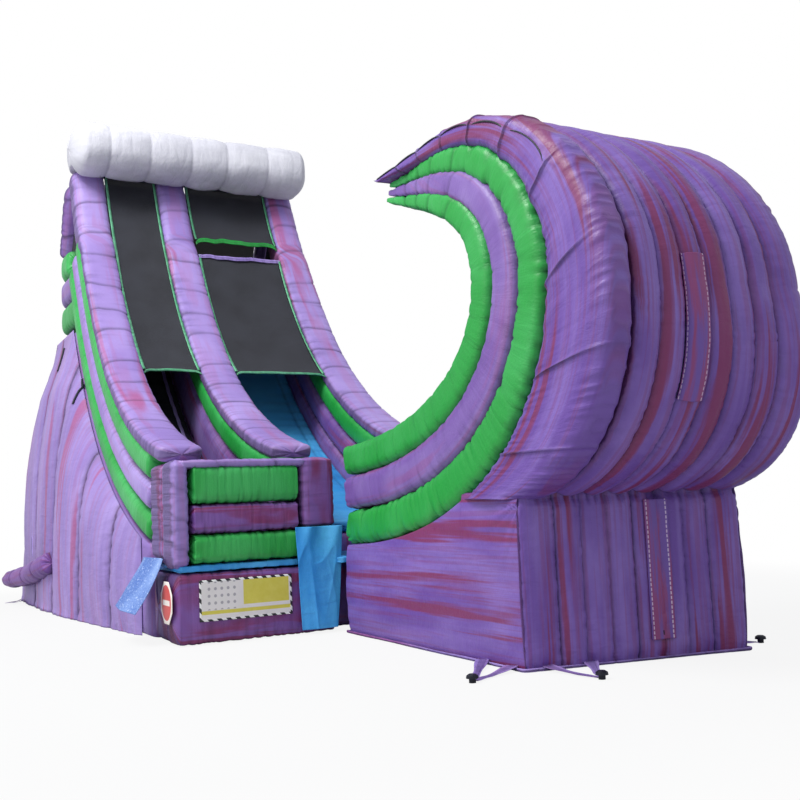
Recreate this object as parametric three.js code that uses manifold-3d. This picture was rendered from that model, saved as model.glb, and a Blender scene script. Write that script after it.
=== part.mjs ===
// Inflatable wave slide: a netted two-lane tower (climb lane and slide lane), a low front wall,
// and a free-standing curled wave that the slide lane runs out into.
// Millimetres, +Z up.  Site frame while building: X runs across the lanes from the outside of the
// left wall, Y runs back from the face of the front wall, Z = 0 is the ground.  At the end the
// whole site is moved so that the origin is the bottom centre of the bounding box.
import * as THREE from 'three';
import { mergeVertices } from 'three/addons/utils/BufferGeometryUtils.js';
import Module from 'manifold-3d';

const wasm = await Module();
wasm.setup();

// ---------------------------------------------------------------- driving dimensions
const SEAM = 0.4;                 // air between two sewn chambers

// across the tower
const WALL_WIDTH = 470;           // each of the three rails
const CLIMB_WIDTH = 720;
const SLIDE_WIDTH = 1250;

// rail crown, seen from the side
const RAIL_FOOT_Y = -400;         // the curve starts ahead of the walls, which are cut off square
const RAIL_FOOT_Z = 1776;
const RAIL_TOP_Y = 5060;
const RAIL_TOP_Z = 6250;
const FOOT_PULL = [3000, 280];    // first Bezier handle, from the foot
const TOP_PULL = [1230, 2650];    // second Bezier handle, back from the top

// wall section, measured inwards from the crown
const RAIL_CAP = 120;
const TUBE_1 = 310;               // upper tube, green
const TUBE_2 = 305;               // middle tube, purple
const TUBE_3 = 305;               // lower tube, green outside
const POST_DEPTH = 420;           // rail above the deck walls
const BED_THICKNESS = 140;

// deck
const DECK_Z = 3950;
const DECK_FLOOR = 100;
const DECK_BAND = 400;            // height of each of the three deck wall tubes
const DECK_BACK_Y = 6300;
const DECK_BACK_WALL = 300;
const ROOF_POST = 300;
const ROOF_LEAN = 550;            // how far the back posts lean forward over the window height
const BASE_BACK_Y = 7000;
const SIDE_FLARE = 480;           // side chamber, at the ground and the back

// landing and front wall
const BASE_TOP_Z = 670;
const FLOOR_THICKNESS = 80;
const FRONT_DEPTH = 450;
const FRONT_WIDTH = 1690;
const FRONT_TOP_Z = 1750;
const FRONT_CAP = 60;
const FRONT_POST_WIDTH = 180;
const RIGHT_POST_WIDTH = 380;
const RIGHT_POST_FOOT_Z = 1030;
const END_POST_DEPTH = 450;       // post that closes the front end of the left wall
const LANDING_BACK_Y = FRONT_DEPTH + END_POST_DEPTH;

// wave
const WAVE_X = 1660;
const WAVE_WIDTH = 1900;
const WAVE_SKEW = 0.195;          // its front wall runs forward by this share of the way across
const WAVE_WALL = 310;            // thickness of its two end walls
const WAVE_START_Y = -200;
const WAVE_START_Z = 1840;
const THROAT_Y = -2680;           // deepest point of the hollow
const THROAT_Z = 3000;
const TIP_Y = -1200;
const TIP_Z = 4060;
const TIP_TAPER = 0.8;            // how much of the tube width is lost at the tip
const WAVE_TUBE_1 = 300;
const WAVE_TUBE_2 = 340;
const WAVE_TUBE_3 = 340;
const WAVE_BED = 60;
const BULGE_Y = -4310;
const BULGE_Z = 2700;
const CREST_Y = -2300;
const CREST_Z = 4340;
const WAVE_FRONT_Y = -3200;
const WAVE_BASE_Z = 1250;
const WAVE_BACK_Y = -170;         // end of its base, beside the landing

// trim
const NET_THICKNESS = 12;
const NET_SINK = 30;              // net below the rail crown
const HEM = 30;
const FLAP_WIDTH = 200;
const FLAP_HEM = 12;
const FLAP_SKIN = 4;
const FLAP_ROOM = 10;             // under the flap, for the zip
const SLIDER = [14, 34, 7];       // zip slider: across, along, out
const TAPE_ARC = { y: -2893.7, z: 2489, r: 1429.5 };   // the barrel's zip tape, a true arc
const TAPE_WIDTH = 30;
const TAPE_ROOT = 45;             // how deep the tape is let into the barrel
const STAKE_RADIUS = 45;
const STAKE_NECK = 0.55;          // share of the head's radius
const STAKE_HEIGHT = 62;
const STRAP_THICKNESS = 4;

const BASE_FLAP = { x: 2690, z0: 150, z1: 1200 };
const BARREL_FLAP = { x: 2380, from: 1870, to: 2880 };

// ---------------------------------------------------------------- colours
const finish = (color, roughness = 0.42) => new THREE.MeshStandardMaterial({ color, roughness, metalness: 0 });
const PURPLE = finish(0x7d5db5);
const LILAC = finish(0x9b84d0);
const GREEN = finish(0x2f9e44);
const BLUE = finish(0x2e7fc8);
const BLACK = finish(0x1e1f28);
const WHITE = finish(0xe8e8ec, 0.6);
const NET = finish(0x3a3c44, 0.85);
const DENIM = finish(0x5a78b4, 0.8);
const RED = finish(0xc8403c, 0.5);
const YELLOW = finish(0xd8cc50, 0.5);
const STEEL = new THREE.MeshStandardMaterial({ color: 0x2a2a2e, roughness: 0.4, metalness: 0.8 });

// ---------------------------------------------------------------- derived positions
const CENTRE_X = WALL_WIDTH + CLIMB_WIDTH;
const RIGHT_X = CENTRE_X + WALL_WIDTH + SLIDE_WIDTH;
const TOWER_WIDTH = RIGHT_X + WALL_WIDTH;
const EDGE_1 = RAIL_CAP + TUBE_1;
const EDGE_2 = EDGE_1 + TUBE_2;
const WALL_DEPTH = EDGE_2 + TUBE_3;
const BED_TOP = WALL_DEPTH - BED_THICKNESS;
const WINDOW_Z = DECK_Z + 3 * DECK_BAND;
const FLOOR_Z = BASE_TOP_Z + FLOOR_THICKNESS;
const WAVE_EDGE_2 = WAVE_TUBE_1 + WAVE_TUBE_2;
const WAVE_DEPTH = WAVE_EDGE_2 + WAVE_TUBE_3;
const WAVE_END_X = WAVE_X + WAVE_WIDTH;

// ---------------------------------------------------------------- geometry helpers
const site = new THREE.Group();

function add(name, geometry, material) {
  const mesh = new THREE.Mesh(geometry, material);
  mesh.name = name;
  site.add(mesh);
  return mesh;
}

const at = (y, z) => new THREE.Vector2(y, z);

// Outline in the (Y, Z) plane, carried along X.
function sidePrism(outline, x0, x1, steps = 1) {
  const shape = new THREE.Shape(outline);
  const geometry = new THREE.ExtrudeGeometry(shape, { depth: x1 - x0, bevelEnabled: false, steps });
  const turn = new THREE.Matrix4().set(0, 0, 1, x0, 1, 0, 0, 0, 0, 1, 0, 0, 0, 0, 0, 1);
  return geometry.applyMatrix4(turn);
}

// Outline in the (X, Y) plane, carried up Z.
function planPrism(outline, z0, z1) {
  const shape = outline instanceof THREE.Shape ? outline : new THREE.Shape(outline);
  const geometry = new THREE.ExtrudeGeometry(shape, { depth: z1 - z0, bevelEnabled: false });
  return geometry.translate(0, 0, z0);
}

function box(x0, x1, y0, y1, z0, z1) {
  const geometry = new THREE.BoxGeometry(x1 - x0, y1 - y0, z1 - z0);
  return geometry.translate((x0 + x1) / 2, (y0 + y1) / 2, (z0 + z1) / 2);
}

// Moves each vertex of a geometry by a function of its place.
function reshape(geometry, move) {
  const position = geometry.getAttribute('position');
  const point = new THREE.Vector3();
  for (let i = 0; i < position.count; i += 1) {
    point.fromBufferAttribute(position, i);
    move(point);
    position.setXYZ(i, point.x, point.y, point.z);
  }
  return geometry;
}

function toSolid(geometry) {
  const bare = geometry.clone();
  bare.deleteAttribute('normal');
  bare.deleteAttribute('uv');
  const merged = mergeVertices(bare, 1e-3);
  const mesh = new wasm.Mesh({
    numProp: 3,
    vertProperties: new Float32Array(merged.getAttribute('position').array),
    triVerts: new Uint32Array(merged.index.array),
  });
  return new wasm.Manifold(mesh);
}

function toGeometry(solid) {
  const mesh = solid.getMesh();
  const geometry = new THREE.BufferGeometry();
  geometry.setAttribute('position', new THREE.BufferAttribute(mesh.vertProperties, 3));
  geometry.setIndex(new THREE.BufferAttribute(mesh.triVerts, 1));
  return geometry;
}

const cut = (body, tool) => toGeometry(toSolid(body).subtract(toSolid(tool)));
const join = (...parts) => toGeometry(parts.map(toSolid).reduce((a, b) => a.add(b)));
const common = (a, b) => toGeometry(toSolid(a).intersect(toSolid(b)));

// Points along a list of curves, each with its unit normal on the stated side of travel.
function traceEdge(curves, stepsEach, side) {
  const points = [];
  curves.forEach((curve, c) => {
    for (let i = c === 0 ? 0 : 1; i <= stepsEach; i += 1) {
      const t = i / stepsEach;
      const tangent = curve.getTangent(t);
      points.push({
        along: (c + t) / curves.length,
        place: curve.getPoint(t),
        normal: at(tangent.y, -tangent.x).multiplyScalar(side),
      });
    }
  });
  return points;
}

// A run of the edge, moved out by a depth that may vary along it.
function offsetEdge(edge, depth) {
  const rule = typeof depth === 'function' ? depth : () => depth;
  return edge.map((p) => p.place.clone().addScaledVector(p.normal, rule(p.along)));
}

// Closed outline between two depths of one edge.
function bandOutline(edge, inner, outer) {
  return [...offsetEdge(edge, inner), ...offsetEdge(edge, outer).reverse()];
}

// Y where an outline run first rises past a height.
function crossing(run, z) {
  const i = run.findIndex((p) => p.y >= z);
  const share = (z - run[i - 1].y) / (run[i].y - run[i - 1].y);
  return run[i - 1].x + share * (run[i].x - run[i - 1].x);
}

// ---------------------------------------------------------------- tower: rail curve
const railCurve = new THREE.CubicBezierCurve(
  at(RAIL_FOOT_Y, RAIL_FOOT_Z),
  at(RAIL_FOOT_Y + FOOT_PULL[0], RAIL_FOOT_Z + FOOT_PULL[1]),
  at(RAIL_TOP_Y - TOP_PULL[0], RAIL_TOP_Z - TOP_PULL[1]),
  at(RAIL_TOP_Y, RAIL_TOP_Z),
);

// Every piece along the rail shares one set of stations, so neighbours have parallel facets.
const STATIONS = 36;
const RIGHT_OF_TRAVEL = 1;
const stations = traceEdge([railCurve], STATIONS, RIGHT_OF_TRAVEL);
const railEdge = (from, to) => stations.slice(from, to + 1);
const firstStation = (test) => stations.findIndex((p) => test(p.place));

const WALL_TOP = firstStation((p) => p.y > WINDOW_Z);
const everything = 20000;

// All that lies above a depth below the crown, and ahead of it.
function regionAbove(depth) {
  const run = offsetEdge(stations, depth);
  const outline = [at(-everything, run[0].y), ...run, at(run[STATIONS].x, everything), at(-everything, everything)];
  return sidePrism(outline, -everything, everything);
}

const behind = (y) => box(-everything, everything, y, everything, -everything, everything);
const under = (z) => box(-everything, everything, -everything, everything, -everything, z);

// Tube of a wall; its upper end stops a seam short of the post above it.
function wallTube(x0, from, to) {
  const edge = railEdge(0, WALL_TOP).map((p) => ({ ...p, place: p.place.clone() }));
  const last = edge[edge.length - 1];
  last.place.add(at(last.normal.y, -last.normal.x).multiplyScalar(SEAM));
  return sidePrism(bandOutline(edge, from + SEAM, to), x0, x0 + WALL_WIDTH);
}

function makeWall(prefix, x0, foot, tubes) {
  const lower = railEdge(0, WALL_TOP);
  const upper = railEdge(WALL_TOP, STATIONS);
  const crown = [...offsetEdge(lower, 0), ...offsetEdge(upper, 0).slice(1)];
  const belly = [...offsetEdge(upper, POST_DEPTH).reverse(), ...offsetEdge(lower, RAIL_CAP).reverse()];
  const rail = sidePrism([...crown, ...belly], x0, x0 + WALL_WIDTH);
  const railFoot = Math.min(foot, FRONT_DEPTH + SEAM);
  add(`${prefix}_rail`, common(rail, behind(railFoot)), LILAC);
  for (const [name, from, to, material] of tubes) {
    let tube = wallTube(x0, from, to);
    if (to === WALL_DEPTH) {
      const feet = [WAVE_START_Y + SEAM, LANDING_BACK_Y - SEAM, FLOOR_Z, RIGHT_POST_FOOT_Z - 20];
      tube = join(tube, box(x0, x0 + WALL_WIDTH, ...feet));
    }
    add(`${prefix}_${name}`, common(tube, behind(foot)), material);
  }
}

function makeWalls() {
  const outer = [
    ['tube_green_upper', RAIL_CAP, EDGE_1, GREEN],
    ['tube_purple', EDGE_1, EDGE_2, PURPLE],
    ['tube_green_lower', EDGE_2, WALL_DEPTH, GREEN],
  ];
  const middle = [
    ['tube_green', RAIL_CAP, EDGE_1, GREEN],
    ['tube_purple', EDGE_1, WALL_DEPTH, PURPLE],
  ];
  makeWall('left', 0, LANDING_BACK_Y + SEAM, outer);
  makeWall('centre', CENTRE_X, FRONT_DEPTH + SEAM, middle);
  makeWall('right', RIGHT_X, WAVE_START_Y + SEAM, outer);
}

function makeBeds() {
  const edge = railEdge(0, WALL_TOP);
  const lane = (x0, x1, from, to) => {
    const body = sidePrism(bandOutline(edge, from, to), x0, x1);
    return common(common(body, behind(LANDING_BACK_Y + SEAM)), under(DECK_Z));
  };
  const slideX = CENTRE_X + WALL_WIDTH;
  add('climb_bed', lane(WALL_WIDTH + SEAM, CENTRE_X - SEAM, BED_TOP, WALL_DEPTH), BLACK);
  add('slide_bed', lane(slideX + SEAM, RIGHT_X - SEAM, BED_TOP, WALL_DEPTH), BLUE);
  const gripRight = CENTRE_X - 100;
  const gripWidth = 45;
  const grip = lane(gripRight - gripWidth, gripRight, BED_TOP - SEAM - 14, BED_TOP - SEAM);
  add('climb_hand_strap', grip, LILAC);
}

// ---------------------------------------------------------------- tower: base and deck
const BACK_SLOPE = [[BASE_BACK_Y, 0], [BASE_BACK_Y - 50, 1300], [BASE_BACK_Y - 250, 2600]];

function baseBlock(x0, x1) {
  const top = DECK_Z - DECK_FLOOR - SEAM;
  const back = BACK_SLOPE.map(([y, z]) => at(y, z));
  const outline = [at(LANDING_BACK_Y, 0), ...back, at(DECK_BACK_Y, top), at(LANDING_BACK_Y, top)];
  return cut(sidePrism(outline, x0, x1), regionAbove(WALL_DEPTH + SEAM));
}

// Side chambers bulge out from the base: widest at the ground and the back, flush at the top.
function sideChamber(sign) {
  const reach = 4200;
  const section = [[0, 0], [1, 0], [0.86, 1900], [0.66, 3000], [0.3, 3600], [0.06, reach], [0, reach]];
  const front = LANDING_BACK_Y + 300;
  const shape = new THREE.Shape(section.map(([x, z]) => at(-x * SIDE_FLARE, z)));
  const swept = new THREE.ExtrudeGeometry(shape, { depth: BASE_BACK_Y - front, bevelEnabled: false, steps: 6 });
  swept.applyMatrix4(new THREE.Matrix4().set(1, 0, 0, 0, 0, 0, -1, BASE_BACK_Y, 0, 1, 0, 0, 0, 0, 0, 1));
  reshape(swept, (p) => {
    const share = (p.y - front) / (BASE_BACK_Y - front);
    p.x *= 0.12 + 0.88 * Math.sin((Math.PI / 2) * Math.min(1, 1.25 * share));
  });
  const chamber = common(swept, baseBlock(-SIDE_FLARE - 1, 0)).translate(-SEAM, 0, 0);
  if (sign < 0) return chamber;
  chamber.applyMatrix4(new THREE.Matrix4().makeScale(-1, 1, 1));
  chamber.setIndex(Array.from(chamber.index.array).reverse());
  return chamber.translate(TOWER_WIDTH, 0, 0);
}

function makeBase() {
  add('side_chamber_left', sideChamber(-1), LILAC);
  add('side_chamber_right', sideChamber(1), LILAC);
  const landing = [
    at(0, FRONT_DEPTH + SEAM), at(FRONT_WIDTH + SEAM, FRONT_DEPTH + SEAM),
    at(FRONT_WIDTH + SEAM, WAVE_BACK_Y + SEAM), at(TOWER_WIDTH, WAVE_BACK_Y + SEAM),
    at(TOWER_WIDTH, LANDING_BACK_Y + 2), at(0, LANDING_BACK_Y + 2),
  ];
  const block = join(planPrism(landing, 0, BASE_TOP_Z), baseBlock(0, TOWER_WIDTH));
  add('tower_base', block, PURPLE);
  const floor = [
    at(0, 0), at(FRONT_WIDTH, 0), at(FRONT_WIDTH, WAVE_BACK_Y + SEAM), at(TOWER_WIDTH, WAVE_BACK_Y + SEAM),
    at(TOWER_WIDTH, LANDING_BACK_Y - SEAM), at(0, LANDING_BACK_Y - SEAM),
  ];
  add('landing_floor', planPrism(floor, BASE_TOP_Z + SEAM, FLOOR_Z - SEAM), BLUE);
}

function makeDeck() {
  const floorX = [WALL_WIDTH + SEAM, RIGHT_X - SEAM];
  const inner = DECK_BACK_Y - DECK_BACK_WALL;
  const ahead = regionAbove(WALL_DEPTH + SEAM);
  const slab = box(...floorX, LANDING_BACK_Y, inner - SEAM, DECK_Z - DECK_FLOOR, DECK_Z);
  add('deck_floor', cut(slab, ahead), BLACK);
  const front = stations[WALL_TOP].place.x - WALL_DEPTH;
  const u = [
    at(0, front), at(WALL_WIDTH, front), at(WALL_WIDTH, inner), at(RIGHT_X, inner), at(RIGHT_X, front),
    at(TOWER_WIDTH, front), at(TOWER_WIDTH, DECK_BACK_Y), at(0, DECK_BACK_Y),
  ];
  const wallEnd = offsetEdge(stations, WALL_DEPTH)[WALL_TOP];
  const windowFoot = box(-1, TOWER_WIDTH + 1, 0, wallEnd.x + SEAM, wallEnd.y - SEAM, everything);
  const bands = [['deck_wall_green_lower', GREEN], ['deck_wall_purple', PURPLE], ['deck_wall_green_upper', GREEN]];
  bands.forEach(([name, material], i) => {
    const foot = i === 0 ? DECK_Z - DECK_FLOOR : DECK_Z + i * DECK_BAND;
    const band = planPrism(u, foot, DECK_Z + (i + 1) * DECK_BAND - SEAM);
    add(name, cut(cut(band, ahead), windowFoot), material);
  });
}

// ---------------------------------------------------------------- tower: roof, nets, cornice
const postBack = (z) => DECK_BACK_Y - (ROOF_LEAN * (z - WINDOW_Z)) / (RAIL_TOP_Z - WINDOW_Z);
const postFront = (z) => postBack(z) - ROOF_POST;

function makeRoof() {
  const post = [
    at(postFront(WINDOW_Z), WINDOW_Z), at(postBack(WINDOW_Z), WINDOW_Z),
    at(postBack(RAIL_TOP_Z), RAIL_TOP_Z), at(postFront(RAIL_TOP_Z), RAIL_TOP_Z),
  ];
  const beamFoot = RAIL_TOP_Z - ROOF_POST;
  const beam = [
    at(postFront(beamFoot), beamFoot), at(postBack(beamFoot), beamFoot),
    at(postBack(RAIL_TOP_Z), RAIL_TOP_Z), at(postFront(RAIL_TOP_Z), RAIL_TOP_Z),
  ];
  const left = sidePrism(post, 0, ROOF_POST);
  const right = sidePrism(post, TOWER_WIDTH - ROOF_POST, TOWER_WIDTH);
  add('roof_frame', join(left, right, sidePrism(beam, ROOF_POST / 2, TOWER_WIDTH - ROOF_POST / 2)), PURPLE);
}

// Sheet that lies across a lane between two shares of the rail curve, with a hem at each end.
function laneNet(name, x0, x1, from, to) {
  const edge = railEdge(from, to);
  const sheet = sidePrism(bandOutline(edge, NET_SINK, NET_SINK + NET_THICKNESS), x0 + SEAM, x1 - SEAM);
  const hem = (station) => {
    const p = offsetEdge(railEdge(station, station), NET_SINK + NET_THICKNESS / 2)[0];
    return box(x0 + SEAM, x1 - SEAM, p.x - HEM / 2, p.x + HEM / 2, p.y - HEM / 2, p.y + HEM / 2);
  };
  add(name, join(sheet, hem(from), hem(to)), NET);
}

function makeNets() {
  const hemZ = 3010;
  const strapLow = 4930;
  const strapHigh = 5230;
  const share = (z) => firstStation((p) => p.y > z);
  const top = STATIONS - 1;
  const slideX = CENTRE_X + WALL_WIDTH;
  laneNet('climb_net', WALL_WIDTH, CENTRE_X, share(hemZ), top);
  laneNet('slide_net_lower', slideX, RIGHT_X, share(hemZ), share(strapLow));
  laneNet('slide_net_upper', slideX, RIGHT_X, share(strapHigh), top);
  const foot = WINDOW_Z + SEAM;
  const head = RAIL_TOP_Z - SEAM;
  const openings = offsetEdge(railEdge(WALL_TOP, STATIONS), POST_DEPTH + SEAM);
  const above = openings.filter((p) => p.y > foot && p.y < head);
  const corners = [at(postFront(head) - SEAM, head), at(postFront(foot) - SEAM, foot)];
  const window = [...above, ...corners, at(crossing(openings, foot) + SEAM, foot)];
  const inset = ROOF_POST / 2;
  add('side_net_left', sidePrism(window, inset, inset + NET_THICKNESS), NET);
  add('side_net_right', sidePrism(window, TOWER_WIDTH - inset - NET_THICKNESS, TOWER_WIDTH - inset), NET);
  const low = WINDOW_Z;
  const high = RAIL_TOP_Z - ROOF_POST - SEAM;
  const sheet = [
    at(postBack(low) - inset, low), at(postBack(low) - inset + NET_THICKNESS, low),
    at(postBack(high) - inset + NET_THICKNESS, high), at(postBack(high) - inset, high),
  ];
  add('back_net', sidePrism(sheet, ROOF_POST + SEAM, TOWER_WIDTH - ROOF_POST - SEAM), NET);
}

// White roll along the top: a rounded section that swells into lobes along its length.
function makeCornice() {
  const over = 80;
  const lobes = 6;
  const halfDepth = 560;
  const halfHeight = 320;
  const middleY = 4860;
  const middleZ = RAIL_TOP_Z + 240;
  const section = new THREE.EllipseCurve(middleY, middleZ, halfDepth, halfHeight, 0, 2 * Math.PI).getPoints(18);
  section.pop();
  const length = TOWER_WIDTH + 2 * over;
  const roll = sidePrism(section, -over, TOWER_WIDTH + over, 4 * lobes);
  reshape(roll, (p) => {
    const along = (p.x + over) / length;
    const lobe = Math.abs(Math.sin(Math.PI * lobes * along));
    const end = Math.min(1, 0.6 + 2.4 * Math.min(along, 1 - along));
    const swell = end * (0.9 + 0.1 * lobe);
    p.y = middleY + (p.y - middleY) * swell;
    p.z = Math.max(RAIL_TOP_Z + SEAM, middleZ + (p.z - middleZ) * swell);
  });
  add('foam_cornice', roll, WHITE);
}

// ---------------------------------------------------------------- front wall
function makeFront() {
  const postX = FRONT_POST_WIDTH;
  const rightX = FRONT_WIDTH - RIGHT_POST_WIDTH;
  const tubes = (FRONT_TOP_Z - FRONT_CAP - RIGHT_POST_FOOT_Z) / 2;
  const middle = RIGHT_POST_FOOT_Z + tubes * 0.86;
  const green = [postX + SEAM, rightX - SEAM, 0, FRONT_DEPTH];
  add('front_base', box(0, FRONT_WIDTH, 0, FRONT_DEPTH, 0, BASE_TOP_Z), PURPLE);
  add('front_tube_green_lower', box(postX + SEAM, FRONT_WIDTH, 0, FRONT_DEPTH, FLOOR_Z, RIGHT_POST_FOOT_Z), GREEN);
  add('front_tube_purple', box(...green, RIGHT_POST_FOOT_Z + SEAM, middle), PURPLE);
  add('front_tube_green_upper', box(...green, middle + SEAM, FRONT_TOP_Z - FRONT_CAP), GREEN);
  const cap = box(postX + SEAM, rightX + 1, 0, FRONT_DEPTH, FRONT_TOP_Z - FRONT_CAP + SEAM, FRONT_TOP_Z);
  const post = box(rightX, FRONT_WIDTH, 0, FRONT_DEPTH, RIGHT_POST_FOOT_Z + SEAM, FRONT_TOP_Z);
  add('front_cap_and_post', join(cap, post), PURPLE);
  const backY = FRONT_DEPTH + END_POST_DEPTH;
  const corner = [
    at(0, 0), at(postX, 0), at(postX, FRONT_DEPTH + SEAM), at(WALL_WIDTH, FRONT_DEPTH + SEAM),
    at(WALL_WIDTH, backY), at(0, backY),
  ];
  const post3 = planPrism(corner, FLOOR_Z, FRONT_TOP_Z);
  const above = cut(regionAbove(RAIL_CAP + SEAM), box(-everything, everything, -everything, FRONT_DEPTH, 0, everything));
  add('front_corner_post', cut(post3, above), PURPLE);
}

function makeFrontTrim() {
  const apronX = [FRONT_WIDTH - RIGHT_POST_WIDTH - 60, WAVE_X - 20];
  const apronTop = RIGHT_POST_FOOT_Z - 10;
  add('front_apron', box(...apronX, -SEAM - 8, -SEAM, 50, apronTop), BLUE);
  const matFront = 290;
  const matBack = LANDING_BACK_Y + 270;
  const mat = new THREE.Shape([at(-SEAM, 790), at(-SEAM, 815), at(-300, 330), at(-315, 310), at(-300, 300)]);
  const sheet = new THREE.ExtrudeGeometry(mat, { depth: matBack - matFront, bevelEnabled: false });
  sheet.applyMatrix4(new THREE.Matrix4().set(1, 0, 0, 0, 0, 0, -1, matBack, 0, 1, 0, 0, 0, 0, 0, 1));
  add('side_mat', sheet, DENIM);
  const signRadius = 215;
  const sign = new THREE.CylinderGeometry(signRadius, signRadius, 5, 8).rotateY(Math.PI / 8).rotateZ(Math.PI / 2);
  add('sign_octagon', sign.translate(-SEAM - 2.5, FRONT_DEPTH / 2, 400), RED);
  add('front_banner', box(240, 1170, -SEAM - 5, -SEAM, 215, 600), YELLOW);
}

// ---------------------------------------------------------------- wave
const lipCurves = [
  new THREE.CubicBezierCurve(
    at(WAVE_START_Y, WAVE_START_Z), at(WAVE_START_Y - 1700, WAVE_START_Z + 40),
    at(THROAT_Y, THROAT_Z - 650), at(THROAT_Y, THROAT_Z),
  ),
  new THREE.CubicBezierCurve(
    at(THROAT_Y, THROAT_Z), at(THROAT_Y, THROAT_Z + 560),
    at(TIP_Y - 1000, TIP_Z - 360), at(TIP_Y, TIP_Z),
  ),
];
const barrelCurves = [
  new THREE.CubicBezierCurve(
    at(WAVE_FRONT_Y, WAVE_BASE_Z), at(WAVE_FRONT_Y - 700, WAVE_BASE_Z + 150),
    at(BULGE_Y, BULGE_Z - 700), at(BULGE_Y, BULGE_Z),
  ),
  new THREE.CubicBezierCurve(
    at(BULGE_Y, BULGE_Z), at(BULGE_Y, BULGE_Z + 800),
    at(CREST_Y - 1200, CREST_Z), at(CREST_Y, CREST_Z),
  ),
];
const LEFT_OF_TRAVEL = -1;
const lipEdge = traceEdge(lipCurves, 10, LEFT_OF_TRAVEL);
const barrelEdge = traceEdge(barrelCurves, 9, LEFT_OF_TRAVEL);
const TIP_TOP = [70, 220];        // upper corner of the tip, from its lower corner

// Full depth up to the throat, then less and less towards the tip.
const taper = (depth) => (along) => depth * (1 - TIP_TAPER * Math.max(0, 2 * along - 1));

const deepRun = offsetEdge(lipEdge, taper(WAVE_DEPTH + SEAM));
const ridgeY = crossing(deepRun, WAVE_BASE_Z);
const deepAbove = deepRun.filter((p) => p.y > WAVE_BASE_Z + SEAM);
const deepBelow = deepRun.filter((p) => p.y < WAVE_BASE_Z);
const barrelRun = barrelEdge.map((p) => p.place.clone());
barrelRun[0].y += SEAM;

function ringOutline(innerRun) {
  const tip = at(TIP_Y + TIP_TOP[0], TIP_Z + TIP_TOP[1]);
  return [...innerRun, tip, ...barrelRun.slice().reverse()];
}

// Carries the foot of the barrel and the wall below it forward towards the far side.
function skewed(geometry) {
  return reshape(geometry, (p) => {
    const share = Math.min(1, Math.max(0, (BULGE_Z - p.z) / (BULGE_Z - WAVE_BASE_Z)));
    if (p.y < WAVE_FRONT_Y + 40) p.y -= WAVE_SKEW * (p.x - WAVE_X) * share;
  });
}

// Strip round the tape's arc: angles in degrees above level, depths out from the arc.
function arcStrip(x, width, angles, depths, steps) {
  const run = (depth) => Array.from({ length: steps + 1 }, (_, i) => {
    const a = THREE.MathUtils.degToRad(angles[0] + ((angles[1] - angles[0]) * i) / steps);
    const r = TAPE_ARC.r + depth;
    return at(TAPE_ARC.y - r * Math.cos(a), TAPE_ARC.z + r * Math.sin(a));
  });
  return sidePrism([...run(depths[0]), ...run(depths[1]).reverse()], x - width / 2, x + width / 2);
}

function makeWave() {
  const inner = [WAVE_X + WAVE_WALL, WAVE_END_X - WAVE_WALL];
  const base = [at(WAVE_BACK_Y, 0), ...deepBelow, at(ridgeY, WAVE_BASE_Z), at(WAVE_FRONT_Y, WAVE_BASE_Z)];
  base.push(at(WAVE_FRONT_Y, 0));
  add('wave_base', skewed(sidePrism(base, WAVE_X, WAVE_END_X)), PURPLE);
  const ring = ringOutline([at(ridgeY, WAVE_BASE_Z + SEAM), ...deepAbove]);
  add('wave_ring_left', skewed(sidePrism(ring, WAVE_X, inner[0] - SEAM)), PURPLE);
  const tape = arcStrip(BARREL_FLAP.x + FLAP_WIDTH / 2, TAPE_WIDTH, [-25, 2], [-TAPE_ROOT, 0], 24);
  add('wave_barrel', join(skewed(sidePrism(ring, inner[0], inner[1], 4)), tape), PURPLE);
  const bed = bandOutline(lipEdge, taper(WAVE_DEPTH - WAVE_BED), taper(WAVE_DEPTH));
  add('wave_bed', sidePrism(bed, inner[0] + SEAM, inner[1] - SEAM), PURPLE);
  const tubes = [
    ['wave_tube_green_inner', 0, WAVE_TUBE_1, GREEN],
    ['wave_tube_purple', WAVE_TUBE_1, WAVE_EDGE_2, PURPLE],
    ['wave_tube_green_outer', WAVE_EDGE_2, WAVE_DEPTH, GREEN],
  ];
  for (const [name, from, to, material] of tubes) {
    const outline = bandOutline(lipEdge, taper(from + 2 * SEAM), taper(to));
    add(name, sidePrism(outline, WAVE_X, inner[0]), material);
  }
  const underside = offsetEdge(lipEdge, WAVE_DEPTH).filter((p) => p.y < WAVE_BASE_Z);
  const rightWall = [at(ridgeY, WAVE_BASE_Z + SEAM), ...underside.reverse(), ...offsetEdge(lipEdge, 0)];
  add('wave_end_wall_right', skewed(sidePrism(ringOutline(rightWall), inner[1] + SEAM, WAVE_END_X)), PURPLE);
}

// ---------------------------------------------------------------- deflation zips
// Follows the skewed front wall without changing a piece's own width.
const onWall = (geometry) => reshape(geometry, (p) => {
  p.y -= WAVE_SKEW * (p.x - WAVE_X);
});

function makeBaseZip() {
  const { x, z0, z1 } = BASE_FLAP;
  const wall = WAVE_FRONT_Y - SEAM;
  const outside = wall - FLAP_ROOM - FLAP_SKIN;
  const end = x + FLAP_WIDTH;
  const section = [
    at(x, wall), at(x, outside), at(end, outside), at(end, wall),
    at(end - FLAP_HEM, wall), at(end - FLAP_HEM, wall - FLAP_ROOM),
    at(x + FLAP_HEM, wall - FLAP_ROOM), at(x + FLAP_HEM, wall),
  ];
  add('base_zip_flap', onWall(planPrism(section, z0, z1)), LILAC);
  const middle = x + FLAP_WIDTH / 2;
  const [across, along, out] = SLIDER;
  const foot = z0 + 30;
  const slider = box(middle - across / 2, middle + across / 2, wall - out, wall, foot, foot + along);
  add('base_zip_slider', onWall(slider), STEEL);
}

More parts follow.
